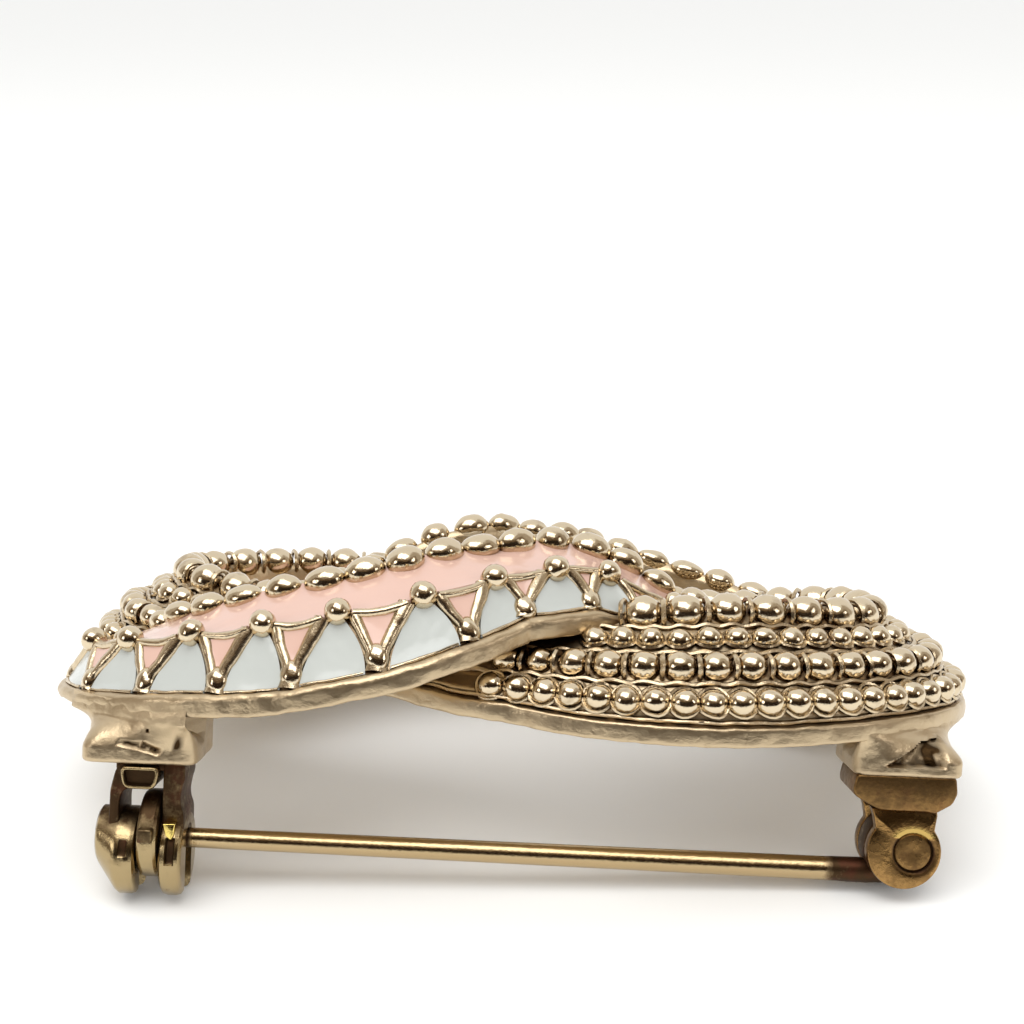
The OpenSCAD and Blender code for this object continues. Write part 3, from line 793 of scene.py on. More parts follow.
def round_corners(outline, corner, steps=5):
    """A closed outline with each corner turned into a short curve."""
    outline = np.asarray(outline, float)
    points = []
    for k, point in enumerate(outline):
        before, after = outline[k - 1], outline[(k + 1) % len(outline)]
        reach = [min(corner, 0.45 * math.dist(point, other)) for other in (before, after)]
        start = point + (before - point) / math.dist(point, before) * reach[0]
        end = point + (after - point) / math.dist(point, after) * reach[1]
        for t in np.linspace(0, 1, steps):
            points.append((1 - t) ** 2 * start + 2 * t * (1 - t) * point + t ** 2 * end)
    return np.array(points)


def inset(loop, distance):
    """A closed outline, counterclockwise, moved inwards."""
    run = unit(np.roll(loop, -1, axis=0) - np.roll(loop, 1, axis=0))
    return loop + distance * np.stack([-run[:, 1], run[:, 0]], axis=-1)


def inside(x, z, corners, soft=0.02):
    """How far places lie in a polygon, counterclockwise and without hollows: from 0 outside to 1
    at a soft distance from its sides."""
    depth = np.full(len(x), soft)
    for (x0, z0), (x1, z1) in zip(corners, corners[1:] + corners[:1]):
        reach = math.hypot(x1 - x0, z1 - z0)
        depth = np.minimum(depth, ((x1 - x0) * (z - z0) - (z1 - z0) * (x - x0)) / reach)
    return np.clip(depth / soft, 0, 1)


# Boxes that the posts flare out from, as low and high corners
CATCH_POST = ((-21.3, -13.5, -2.2), (-15.5, -8.3, 0.9))
HINGE_POST = ((17.1, -13.4, -1.25), (22.6, -8.1, 1.3))
# The flare's start above the post's foot, its height and how late it opens
FLARE_START, FLARE_HEIGHT, FLARE_POWER = 0.7, 1.4, 1.7
# Marks on the posts' front faces: corners in X and Z, counterclockwise, how deep they go and how
# soft their edges are. The marks are also painted dark: painted shade in their hollows, partly
# brown residue
CATCH_POST_MARKS = (
    (((-19.5, -1.3), (-18.4, -1.5), (-18.2, -1.05), (-19.4, -0.95)), 0.2, 0.2),
    (((-18.5, -1.45), (-17.3, -1.75), (-17.1, -1.4), (-18.2, -1.0)), 0.3, 0.2),
    (((-18.05, -0.6), (-17.85, -0.6), (-17.85, -0.4), (-18.05, -0.4)), 0.3, 0.1),
    (((-16.9, -1.7), (-16.2, -1.5), (-15.9, -0.6), (-16.5, -0.5)), 0.1, 0.3),
)
HINGE_POST_MARKS = (
    (((18.6, -0.75), (21.7, -0.73), (21.7, 0.6), (20.55, 0.45)), 0.4, 0.06),
)


def post(casting, band, box, marks, sizes, seed):
    """A cast block that flares out to its band's outer edge, with an uneven, marked skin."""
    corner, edge, spacing = 0.8, 0.22, 0.08
    low, high = box
    centre = (np.array(low) + high)[:2] / 2
    foot = [(low[0], low[1]), (high[0], low[1]), (high[0], high[1]), (low[0], high[1])]
    loop = fine_loop(round_corners(foot, corner, 8), spacing)
    turns = np.radians(np.arange(0, 90, 18))
    levels = [(edge * (1 - math.sin(t)), low[2] + edge * (1 - math.cos(t))) for t in turns]
    levels += [(0.0, z) for z in np.arange(low[2] + edge, high[2], spacing)]
    rings = np.array([[[*p, z] for p in inset(loop, gap)] for gap, z in levels])
    shape = rings.reshape(-1, 3)
    away = unit(shape[:, :2] - centre)
    share, across = band.nearest(shape)
    climb = np.clip((shape[:, 2] - low[2] - FLARE_START) / FLARE_HEIGHT, 0, 1) ** FLARE_POWER
    merge = 0.04 - 0.1 * np.clip((shape[:, 2] - band.base(share)) / 0.6, 0, 1)
    flare = np.where(across > 0, climb * (HALF_WIDTH + merge - across), 0)
    shape[:, :2] += flare[:, None] * band.side(share)[:, :2]
    depth = sizes.lump_depth / MM
    push = depth * (1.2 * lumps(shape, 1.5, seed) + 0.5 * lumps(shape, 0.5, seed + 1))
    stain_and_shade = lumps(shape, 0.8, seed + 2)
    polish = 0.25 - 0.5 * np.clip(stain_and_shade, 0, 1)
    front = away[:, 1] < -0.3
    # Each mark is sunk and painted dark: painted shade in its hollow, mixed with brown residue.
    for corners, sunk, soft in marks:
        held = front * inside(shape[:, 0], shape[:, 2], list(corners), soft)
        push -= sunk * held * (1 + 0.5 * lumps(shape, 0.5, seed + 3))
        polish -= (0.75 + 0.6 * stain_and_shade) * held
    shape[:, :2] += push[:, None] * away
    casting.skin(rings, polish)


# Catch, hinge and pin. The catch is drawn about the pin's axis, the hinge and the pin in the
# brooch's own places, and all lie across about the pin's middle


# Middle of the pin in the catch, across the brooch and up
PIN_PLACE = (-11.5, -6.24)
SLOT_HALF_WIDTH = 0.75
HUB_RADIUS = 1.3
ROUND_STEPS = 80


def horseshoe(radius, drop, bore):
    """Outline of a disc, its middle a drop below the pin, slotted from below up to a bore."""
    start = -math.acos(SLOT_HALF_WIDTH / radius)
    turns = np.linspace(start, math.pi - start, ROUND_STEPS)
    outer = np.stack([radius * np.cos(turns), radius * np.sin(turns) - drop], axis=-1)
    foot = -math.sqrt(bore ** 2 - SLOT_HALF_WIDTH ** 2)
    begin = math.atan2(foot, -SLOT_HALF_WIDTH)
    begin += 2 * math.pi if begin < 0 else 0
    end = math.atan2(foot, SLOT_HALF_WIDTH)
    turns = np.linspace(begin, end, 24)
    inner = np.stack([bore * np.cos(turns), bore * np.sin(turns)], axis=-1)
    up = np.linspace(outer[-1], inner[0], 8)[1:-1]
    down = np.linspace(inner[-1], outer[0], 8)[1:-1]
    return np.concatenate([outer, up, inner, down])


def disc(radius, drop):
    """Outline of a plain disc, its middle a drop below the pin."""
    turns = whole_turn(ROUND_STEPS)
    return np.stack([radius * np.cos(turns), radius * np.sin(turns) - drop], axis=-1)


def finer(profile):
    """A profile of (x, radius, drop) cut into short steps."""
    profile, spacing = np.asarray(profile, float), 0.1
    steps = [np.linspace(a, b, max(2, round(math.dist(a, b) / spacing) + 1))[:-1]
             for a, b in zip(profile, profile[1:])]
    return np.concatenate([*steps, profile[-1:]])


def lengthways(casting, profile, polish, bore=None, marks=()):
    """A round form along the pin from its profile, solid, or slotted where it has a bore."""
    rings = []
    for x, radius, drop in finer(profile):
        loop = disc(radius, drop) if bore is None else horseshoe(radius, drop, bore)
        rings.append([[x, PIN_PLACE[0] + y, PIN_PLACE[1] + z] for y, z in loop])
    rings = np.array(rings)
    shape = rings.reshape(-1, 3)
    tone = polish(shape) if callable(polish) else np.full(len(shape), float(polish))
    # Each mark is pushed in and painted its dark tone: painted shade in the dent.
    for corners, sunk, dent_shade_tone in marks:
        held = (shape[:, 1] < PIN_PLACE[0] - 1) \
            & (inside(shape[:, 0], shape[:, 2] - PIN_PLACE[1], list(corners)) > 0)
        shape[held, 1] += sunk
        tone[held] = dent_shade_tone
    casting.skin(rings, tone)


def crossways(casting, outline, near, far, edge, polish, corner=0.15, recess=0.0, rim=0.0):
    """A slab of an outline in X and Z, its faces near and far of the pin's middle, with rounded
    edges and perhaps a recess in its near face."""
    loop = fine_loop(round_corners(outline, corner), 0.2)
    turns = [math.radians(t) for t in (0, 30, 60, 90)]
    levels = [(edge * (1 - math.sin(t)), near + edge * (1 - math.cos(t))) for t in turns]
    levels += [(edge * (1 - math.sin(t)), far - edge * (1 - math.cos(t))) for t in turns[::-1]]
    if recess:
        levels = [(rim + 0.05, near + recess), (rim + 0.01, near + 0.3 * recess),
                  (rim, near + 0.02)] + levels
    rings = np.array([[[x, PIN_PLACE[0] + y, z] for x, z in inset(loop, gap)]
                      for gap, y in levels])
    tone = np.full(rings.shape[:2], float(polish))
    # The recess's floor and the foot of its wall are painted darkest: painted shade.
    if recess:
        tone[:2] = -1
    casting.skin(rings, tone)


def catch_tone(points):
    """Lighter below and browner above, with mottling."""
    height = points[:, 2] - PIN_PLACE[1]
    return np.clip(0.6 - 0.9 * (height - 0.3), -0.7, 0.7) + 0.5 * lumps(points, 0.5, 41)


# Profiles of the catch along X: place, radius, drop of its middle below the pin
CAP_PROFILE = (
    (-20.6, 0.9, 0.0), (-20.57, 1.3, 0.0), (-20.45, 1.5, 0.02), (-19.55, 2.12, 0.66),
    (-19.35, 2.2, 0.72), (-19.2, 2.2, 0.72),
)
CLOSED_CHEEK_PROFILE = (
    (-19.8, 1.92, 0.5), (-19.4, 2.17, 0.7), (-19.2, 2.2, 0.72), (-18.75, 2.2, 0.72),
    (-18.52, 2.12, 0.72), (-18.42, 1.95, 0.72), (-18.4, 1.7, 0.72),
)
OPEN_CHEEK_PROFILE = (
    (-17.25, 1.8, 0.72), (-17.23, 2.0, 0.72), (-17.12, 2.14, 0.72), (-16.9, 2.2, 0.72),
    (-16.5, 2.2, 0.72), (-16.25, 2.12, 0.72), (-16.13, 1.95, 0.72), (-16.1, 1.7, 0.72),
)
LOCK_PROFILE = (
    (-18.34, 1.95, -0.2), (-18.3, 2.1, -0.2), (-18.15, 2.2, -0.2), (-17.5, 2.2, -0.2),
    (-17.36, 2.1, -0.2), (-17.31, 1.95, -0.2),
)
HUB_PROFILE = ((-18.6, HUB_RADIUS, 0.0), (-17.0, HUB_RADIUS, 0.0))
# Dents in the cheeks' front faces: corners in X and Z, how deep they go, and the dark tone that
# paints shade in them
CLOSED_CHEEK_MARKS = (
    (((-19.35, -0.45), (-18.75, -0.6), (-18.75, 0.25), (-19.35, 0.2)), 0.12, -0.9),
)
OPEN_CHEEK_MARKS = (
    (((-16.9, -0.85), (-16.45, -0.85), (-16.45, 0.3), (-16.9, 0.3)), 0.22, -1.0),
)
# Uprights, tab and foot of the catch, the chip in its plating and the lock's finger tab, in X and Z
# above the pin
CLOSED_UPRIGHT = (
    (-19.9, 0.5), (-19.35, 0.5), (-19.38, 1.9), (-19.3, 2.35), (-19.1, 2.65), (-18.3, 2.8),
    (-18.3, 4.04), (-19.3, 4.04), (-19.62, 3.6), (-19.86, 2.6),
)
OPEN_UPRIGHT = (
    (-17.22, 0.3), (-16.12, 0.3), (-16.14, 1.5), (-16.3, 1.9), (-16.34, 2.3), (-16.24, 2.9),
    (-16.12, 3.3), (-16.16, 4.04), (-17.22, 4.04),
)
TAB = ((-19.1, 2.78), (-17.5, 2.78), (-17.3, 3.9), (-19.3, 3.9))
CATCH_FOOT = ((-19.6, 3.6), (-16.3, 3.6), (-16.3, 4.04), (-19.6, 4.04))
CHIP = ((-17.05, 1.12), (-16.9, 0.55), (-16.62, 0.32), (-16.48, 0.6), (-16.42, 1.15))
FINGER = ((-18.2, 0.25), (-17.45, 0.25), (-17.45, 0.95), (-18.2, 0.95))


def above_pin(outline):
    """An outline drawn about the pin, at its place in the brooch."""
    return [(x, z + PIN_PLACE[1]) for x, z in outline]


def catch_parts(casting, edge):
    """The fixed part of the catch: two slotted cheeks on uprights, with a tab over the lock."""
    lengthways(casting, CAP_PROFILE, catch_tone)
    lengthways(casting, CLOSED_CHEEK_PROFILE, catch_tone, SLOT_HALF_WIDTH, CLOSED_CHEEK_MARKS)
    lengthways(casting, OPEN_CHEEK_PROFILE, catch_tone, SLOT_HALF_WIDTH, OPEN_CHEEK_MARKS)
    lengthways(casting, HUB_PROFILE, -0.6, SLOT_HALF_WIDTH)
    crossways(casting, above_pin(CLOSED_UPRIGHT), -1.4, 1.4, edge, -0.55, corner=0.2)
    crossways(casting, above_pin(OPEN_UPRIGHT), -1.4, 1.4, edge, -0.45, corner=0.2)
    crossways(casting, above_pin(CATCH_FOOT), -1.35, 1.35, edge, -0.5)
    crossways(casting, above_pin(TAB), -1.9, 1.9, 0.1, 0.4, corner=0.4, recess=0.3, rim=0.15)
    crossways(casting, above_pin(CHIP), -2.02, -1.3, 0.05, 2.0, corner=0.05)


def lock_parts(casting, edge):
    """The turning ring and its finger tab."""
    lengthways(casting, LOCK_PROFILE, catch_tone, HUB_RADIUS + 0.04)
    crossways(casting, above_pin(FINGER), -2.6, -1.6, edge, -0.3)


# Hinge: middle of the lugs and of the pin's knuckle, the rivet, and the outlines of the base
# plate and the lugs' necks, all in X and Z
LUG_PLACE = (19.9, -5.1)
KNUCKLE_PLACE = (19.95, -5.1)
RIVET = (RIVET_PLACE.x - 0.1, RIVET_PLACE.z)
LUG_RADIUS = 1.86
KNUCKLE_RADIUS = 1.9
KNUCKLE_HALF_WIDTH = 0.75
LUG_NEAR, LUG_FAR = 0.8, 1.55
HINGE_PLATE = (
    (17.3, -1.2), (17.15, -1.9), (17.2, -2.25), (17.7, -2.55), (18.4, -2.9), (18.9, -2.95),
    (20.9, -2.95), (21.25, -3.05), (22.1, -2.55), (22.35, -2.0), (22.25, -1.2),
)
NECK_HALF_ANGLE = 52
# The rivet's radii and places across, from its domed head to the end of its shank
RIVET_PROFILE = (
    (0.02, -1.44), (0.35, -1.45), (0.65, -1.47), (0.88, -1.44), (0.96, -1.36), (0.6, -1.15),
    (0.6, 1.5),
)


def lug_outline():
    """A lug's disc with its neck, as distances from the rivet, one for each direction."""
    turns = np.radians(np.arange(90 + NECK_HALF_ANGLE, 450 - NECK_HALF_ANGLE + 1, 4))
    arc = np.stack([LUG_PLACE[0] + LUG_RADIUS * np.cos(turns),
                    LUG_PLACE[1] + LUG_RADIUS * np.sin(turns)], axis=-1)
    neck = np.array([(21.45, -3.3), (21.5, -2.9), (18.15, -2.9), (18.3, -3.3)])
    loop = fine_loop(np.concatenate([arc, neck]).tolist(), 0.06) - np.array(RIVET)
    bearing = np.mod(np.arctan2(loop[:, 1], loop[:, 0]), 2 * np.pi)
    order = np.argsort(bearing)
    wanted = whole_turn(96)
    reach = np.interp(wanted, bearing[order], np.hypot(*loop[order].T), period=2 * np.pi)
    return wanted, reach


def around_rivet(turns, reach, y):
    """A ring of points about the rivet, at a place across from the pin's middle."""
    return np.stack([RIVET[0] + reach * np.cos(turns), np.full_like(turns, PIN_PLACE[0] + y),
                     RIVET[1] + reach * np.sin(turns)], axis=-1)


def lug(casting, near, far, edge, recessed):
    """One lug of the hinge, perhaps with the rivet's recess in its outer face."""
    turns, reach = lug_outline()
    levels = [(reach - edge, near), (reach - 0.3 * edge, near + 0.3 * edge), (reach, near + edge),
              (reach, far - edge), (reach - 0.3 * edge, far - 0.3 * edge), (reach - edge, far)]
    tones = [0.3, 0.5, 0.1, 0.1, 0.5, 0.3]
    if recessed:
        # The rivet's recess has its inner rings painted dark: painted shade in the recess.
        hole = [(0.98, near + 0.2), (1.02, near + 0.06), (1.12, near + 0.01), (1.25, near)]
        levels = [(np.full_like(reach, r), y) for r, y in hole] + levels
        tones = [-0.6, -0.5, 0.1, 0.3] + tones
    rings = np.array([around_rivet(turns, radius, y) for radius, y in levels])
    shape = rings.reshape(-1, 3)
    tone = np.repeat(tones, len(turns)) + 0.35 * lumps(shape, 0.8, 51)
    # A crescent above the rivet, on the recessed lug, is painted bright bare brass: a painted
    # highlight.
    rubbed_and_highlit = (np.hypot(shape[:, 0] - RIVET[0], shape[:, 2] - RIVET[1]) < 1.5) \
        & (shape[:, 2] > RIVET[1] + 0.7)
    tone[rubbed_and_highlit & recessed] = 1.2
    casting.skin(rings, tone)


def hinge_parts(casting, edge):
    """The base plate and the two lugs of the hinge."""
    crossways(casting, HINGE_PLATE, -1.8, 1.8, edge, 0.0, corner=0.18)
    lug(casting, -LUG_FAR, -LUG_NEAR, edge, True)
    lug(casting, LUG_NEAR, LUG_FAR, edge, False)


def rivet_parts(casting):
    """The rivet's sunk, domed head and its shank, along Y."""
    turns = whole_turn(40)
    rings = np.array([around_rivet(turns, radius, y) for radius, y in RIVET_PROFILE])
    casting.skin(rings, 0.1)


# Pin, from the knuckle to the point: place in X and Z, radius and polish
PIN_STATIONS = (
    (19.7, -6.4, 0.62, -0.9), (18.4, -6.44, 0.64, -0.9), (17.6, -6.44, 0.63, -0.8),
    (16.7, -6.43, 0.61, -0.6), (16.3, -6.43, 0.6, 0.1), (16.0, -6.43, 0.6, 0.8),
    (12.0, -6.41, 0.59, 1.0), (-14.0, -6.26, 0.51, 1.0), (-15.8, -6.24, 0.5, 0.9),
    (-16.1, -6.24, 0.5, -0.5), (-17.5, -6.23, 0.4, 0.3), (-18.8, -6.22, 0.27, 0.5),
    (-19.35, -6.22, 0.15, 0.5), (-19.4, -6.22, 0.05, 0.5),
)


def pin_parts(casting, edge):
    """The pin, tapered to its point, with the flat knuckle that the rivet goes through."""
    stations = np.array(PIN_STATIONS)
    run = np.concatenate([[0], np.cumsum(np.hypot(*np.diff(stations[:, :2], axis=0).T))])
    fine = np.unique(np.concatenate([np.arange(0, run[-1], 0.5), run]))
    x, z, radius, tone = (np.interp(fine, run, column) for column in stations.T)
    turns = whole_turn(28)
    rings = np.stack([x[:, None] + 0 * turns, PIN_PLACE[0] + radius[:, None] * np.cos(turns),
                      z[:, None] + radius[:, None] * np.sin(turns)], axis=-1)
    casting.skin(rings, np.repeat(tone, len(turns)))
    knuckle = [(KNUCKLE_PLACE[0] + KNUCKLE_RADIUS * math.cos(a),
                KNUCKLE_PLACE[1] + KNUCKLE_RADIUS * math.sin(a)) for a in whole_turn(72)]
    crossways(casting, knuckle, -KNUCKLE_HALF_WIDTH, KNUCKLE_HALF_WIDTH, edge, -0.6, corner=0.05)


# Materials


def put(tree, kind, inputs=(), **settings):
    """Adds a node, sets its settings and fills its inputs with values or links."""
    node = tree.nodes.new(kind)
    for name, value in settings.items():
        setattr(node, name, value)
    for name, value in dict(inputs).items():
        if isinstance(value, bpy.types.NodeSocket):
            tree.links.new(value, node.inputs[name])
        else:
            node.inputs[name].default_value = value
    return node


def new_material(name):
    """An empty node material, its tree and its surface output."""
    material = bpy.data.materials.new(name)
    material.use_nodes = True
    tree = material.node_tree
    tree.nodes.clear()
    return material, tree, tree.nodes.new("ShaderNodeOutputMaterial")


def grain(size_mm):
    """Noise scale for a pattern of this size in millimetres."""
    return 1 / (size_mm * MM)


def plated_casting(sizes):
    """Zinc alloy, cast, tumbled and plated a pale gold. Beads and wires are bright with dark
    reflections, hollows are painted a dull brown by an occlusion node, partly bloom and partly
    painted shade, plain faces show the cast skin, and brown residue sits in the pits, where it
    also paints shade in the posts' marks."""
    material, tree, surface = new_material("pale_gold_plated_casting")
    place = put(tree, "ShaderNodeTexCoord").outputs["Object"]
    polish = put(tree, "ShaderNodeAttribute", attribute_name="polish").outputs["Fac"]
    # The occlusion node darkens the colour in crevices and grooves towards worn gold: painted
    # shade, mixed with the cloud's bloom.
    crevice_occlusion = put(tree, "ShaderNodeAmbientOcclusion", {"Distance": 0.9 * MM}, samples=8)
    shade = put(tree, "ShaderNodeMapRange", {
        "Value": crevice_occlusion.outputs["AO"], "From Min": 0.10, "From Max": 0.62})
    cloud = put(tree, "ShaderNodeTexNoise", {
        "Vector": place, "Scale": grain(1.6), "Detail": 4.0, "Roughness": 0.6})
    speck = put(tree, "ShaderNodeTexNoise", {
        "Vector": place, "Scale": grain(0.3), "Detail": 3.0, "Roughness": 0.7})
    wear_and_hollow_shade = put(tree, "ShaderNodeMath", {0: shade.outputs["Result"], 1: cloud.outputs["Fac"]},
               operation="MULTIPLY")
    worn_and_unshaded = put(tree, "ShaderNodeMapRange", {
        "Value": wear_and_hollow_shade.outputs["Value"], "From Min": 0.05, "From Max": 0.42})
    shine = put(tree, "ShaderNodeMapRange", {"Value": polish, "From Min": 0.3})
    plating = put(tree, "ShaderNodeMix", {
        0: shine.outputs["Result"], 6: sizes.satin_gold, 7: sizes.high_gold}, data_type="RGBA")
    gold = put(tree, "ShaderNodeMix", {
        0: worn_and_unshaded.outputs["Result"], 6: sizes.worn_and_shaded_gold, 7: plating.outputs[2]}, data_type="RGBA")
    # Low polish turns the colour to the stain: real residue, and painted shade in the posts' marks.
    residue_and_shade = put(tree, "ShaderNodeMapRange", {
        "Value": polish, "From Min": 0.1, "From Max": -0.7})
    tone = put(tree, "ShaderNodeMix", {
        0: residue_and_shade.outputs["Result"], 6: gold.outputs[2], 7: sizes.stain_and_shade}, data_type="RGBA")
    dull = put(tree, "ShaderNodeMapRange", {
        "Value": polish, "To Min": 0.38, "To Max": 0.09})
    rough = put(tree, "ShaderNodeMath", {
        0: speck.outputs["Fac"], 1: 0.10, 2: dull.outputs["Result"]}, operation="MULTIPLY_ADD")
    bump_depth = put(tree, "ShaderNodeMapRange", {
        "Value": polish, "To Min": 0.35, "To Max": 0.15})
    mixed = put(tree, "ShaderNodeMath", {
        0: cloud.outputs["Fac"], 1: speck.outputs["Fac"]}, operation="ADD")
    bump = put(tree, "ShaderNodeBump", {
        "Strength": bump_depth.outputs["Result"], "Distance": 0.1 * MM,
        "Height": mixed.outputs["Value"]})
    shader = put(tree, "ShaderNodeBsdfPrincipled", {
        "Base Color": tone.outputs[2], "Metallic": 1.0, "Roughness": rough.outputs["Value"],
        "Normal": bump.outputs["Normal"]})
    tree.links.new(shader.outputs["BSDF"], surface.inputs["Surface"])
    return material


def cold_enamel(name, colour):
    """Cold enamel, poured and cured in its cells. It is smooth and glossy, with a slow swell
    that bends the highlights and a faint cloudiness in its colour."""
    material, tree, surface = new_material(name)
    place = put(tree, "ShaderNodeTexCoord").outputs["Object"]
    cloud = put(tree, "ShaderNodeTexNoise", {
        "Vector": place, "Scale": grain(3.0), "Detail": 3.0, "Roughness": 0.5})
    darker = [c * 0.9 for c in colour[:3]] + [1.0]
    tone = put(tree, "ShaderNodeMix", {0: cloud.outputs["Fac"], 6: darker, 7: tuple(colour)},
               data_type="RGBA")
    swell = put(tree, "ShaderNodeTexNoise", {
        "Vector": place, "Scale": grain(0.9), "Detail": 1.0})
    bump = put(tree, "ShaderNodeBump", {
        "Strength": 0.25, "Distance": 0.15 * MM, "Height": swell.outputs["Fac"]})
    shader = put(tree, "ShaderNodeBsdfPrincipled", {
        "Base Color": tone.outputs[2], "Roughness": 0.16, "IOR": 1.45, "Coat Weight": 0.25,
        "Coat Roughness": 0.04, "Normal": bump.outputs["Normal"]})
    tree.links.new(shader.outputs["BSDF"], surface.inputs["Surface"])
    return material


def browned_brass(name, rubbed_and_highlit, tarnish, bare_brass_and_highlight, heat):
    """Stamped brass, browned by years of handling. Edges and the parts that fingers reach are
    rubbed to the metal's own colour, the rest keeps a patchy brown bloom that an occlusion node
    darkens further in the hollows as painted shade, and fresh chips show bare yellow brass. The
    same bare colour paints a highlight above the hinge's rivet."""
    material, tree, surface = new_material(name)
    place = put(tree, "ShaderNodeTexCoord").outputs["Object"]
    polish = put(tree, "ShaderNodeAttribute", attribute_name="polish").outputs["Fac"]
    # The occlusion node darkens the hollows: painted shade.
    crevice_occlusion = put(tree, "ShaderNodeAmbientOcclusion", {"Distance": 0.8 * MM}, samples=8)
    cloud = put(tree, "ShaderNodeTexNoise", {
        "Vector": place, "Scale": grain(0.9), "Detail": 6.0, "Roughness": 0.65})
    shade = put(tree, "ShaderNodeMapRange", {
        "Value": crevice_occlusion.outputs["AO"], "From Min": 0.1, "From Max": 0.6, "To Min": -0.7,
        "To Max": 0.0})
    speck = put(tree, "ShaderNodeTexNoise", {
        "Vector": place, "Scale": grain(0.3), "Detail": 4.0, "Roughness": 0.7})
    mottle = put(tree, "ShaderNodeMath", {
        0: cloud.outputs["Fac"], 1: speck.outputs["Fac"]}, operation="MULTIPLY")
    patches = put(tree, "ShaderNodeMath", {
        0: mottle.outputs["Value"], 1: 2.2, 2: polish}, operation="MULTIPLY_ADD")
    reddish = put(tree, "ShaderNodeTexNoise", {
        "Vector": place, "Scale": grain(1.4), "Detail": 3.0, "Roughness": 0.6})
    blush = put(tree, "ShaderNodeMapRange", {
        "Value": reddish.outputs["Fac"], "From Min": 0.5, "From Max": 0.75})
    bloom = put(tree, "ShaderNodeMix", {0: blush.outputs["Result"], 6: tarnish, 7: heat},
                data_type="RGBA")
    wear_and_hollow_shade = put(tree, "ShaderNodeMath", {
        0: patches.outputs["Value"], 1: shade.outputs["Result"]}, operation="ADD")
    worn_and_unshaded = put(tree, "ShaderNodeMapRange", {
        "Value": wear_and_hollow_shade.outputs["Value"], "From Min": 0.05, "From Max": 1.1})
    tone = put(tree, "ShaderNodeMix", {
        0: worn_and_unshaded.outputs["Result"], 6: bloom.outputs[2], 7: rubbed_and_highlit}, data_type="RGBA")
    # Polish above one paints bare brass: chips, and the painted highlight on the lug.
    chipped_and_highlit = put(tree, "ShaderNodeMapRange", {
        "Value": polish, "From Min": 1.05, "From Max": 1.5})
    chips_and_highlight = put(tree, "ShaderNodeMix", {0: chipped_and_highlit.outputs["Result"], 6: tone.outputs[2], 7: bare_brass_and_highlight},
                data_type="RGBA")
    rough = put(tree, "ShaderNodeMapRange", {
        "Value": worn_and_unshaded.outputs["Result"], "To Min": 0.5, "To Max": 0.2})
    bump = put(tree, "ShaderNodeBump", {
        "Strength": 0.3, "Distance": 0.06 * MM, "Height": speck.outputs["Fac"]})
    shader = put(tree, "ShaderNodeBsdfPrincipled", {
        "Base Color": chips_and_highlight.outputs[2], "Metallic": 1.0, "Roughness": rough.outputs["Result"],
        "Normal": bump.outputs["Normal"]})
    tree.links.new(shader.outputs["BSDF"], surface.inputs["Surface"])
    return material


def dress(piece, material, body, slot, *stands_for):
    """Finishes a made piece, sets it on its body and has it stand for its solids."""
    piece.data.materials.append(material)
    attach(piece, body)
    if stands_for:
        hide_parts(*stands_for)


class BROOCH_OT_beaded_band(bpy.types.Operator):
    """Builds the beaded band, then its four rows of beads"""
    bl_idname = "brooch.beaded_band"
    bl_label = "Beaded band"

    def execute(self, context):
        sizes = context.scene.brooch_casting
        band, rows = Casting(), Casting()
        beaded_body(band, sizes)
        row_ridges(band)
        beaded_rows(rows, sizes)
        plated = plated_casting(sizes)
        for piece in (band.mesh_object("beaded_band", 45, stray=0.04),
                      rows.mesh_object("bead_rows", 60, stray=0.06)):
            dress(piece, plated, "root", "cast_metal", "cast_frame")
        return {"FINISHED"}


class BROOCH_OT_enamelled_band(bpy.types.Operator):
    """Builds the enamelled band's metal, with its wires, balls and edge beads"""
    bl_idname = "brooch.enamelled_band"
    bl_label = "Enamelled band"

    def execute(self, context):
        sizes = context.scene.brooch_casting
        casting = Casting()
        enamelled_body(casting, sizes)
        edge_beads(casting)
        cell_wires(casting, sizes)
        piece = casting.mesh_object("enamelled_band", 60, stray=0.06)
        dress(piece, plated_casting(sizes), "root", "cast_metal", "cast_frame")
        return {"FINISHED"}


class BROOCH_OT_posts(bpy.types.Operator):
    """Builds the two cast posts that carry the fittings"""
    bl_idname = "brooch.posts"
    bl_label = "Posts"

    def execute(self, context):
        sizes = context.scene.brooch_casting
        casting = Casting()
        post(casting, ENAMELLED, CATCH_POST, CATCH_POST_MARKS, sizes, seed=3)
        post(casting, BEADED, HINGE_POST, HINGE_POST_MARKS, sizes, seed=5)
        piece = casting.mesh_object("posts", 45)
        dress(piece, plated_casting(sizes), "root", "cast_metal", "cast_frame")
        return {"FINISHED"}


class BROOCH_OT_enamel(bpy.types.Operator):
    """Pours the pink and the white enamel"""
    bl_idname = "brooch.enamel"
    bl_label = "Enamel"

    def execute(self, context):
        enamel = context.scene.brooch_enamel
        pink, white = Casting(), Casting()
        depth, dish = enamel.thickness / MM, enamel.dish / MM
        for half in (0, 1):
            strip_pad(pink, half, enamel)
        for start in shown_units():
            up = np.linspace(0, WHITE_REACH, 11)
            wall_pad(white, start + 0.5, up, arch_side(up) + WHITE_BEYOND, depth - WHITE_LOW,
                     dish)
            up = np.linspace(V_SHARE, PINK_REACH, 8)
            wall_pad(pink, start + 1.0, up, np.linspace(V_FOOT, V_HEAD, 8), depth + PINK_PROUD,
                     dish)
        dress(pink.mesh_object("pink_cells", 45), cold_enamel("pink_cold_enamel", enamel.pink),
              "root", "pink_enamel", "pink_enamel")
        dress(white.mesh_object("white_cells", 45), cold_enamel("white_cold_enamel", enamel.white),
              "root", "white_enamel", "white_enamel")
        return {"FINISHED"}


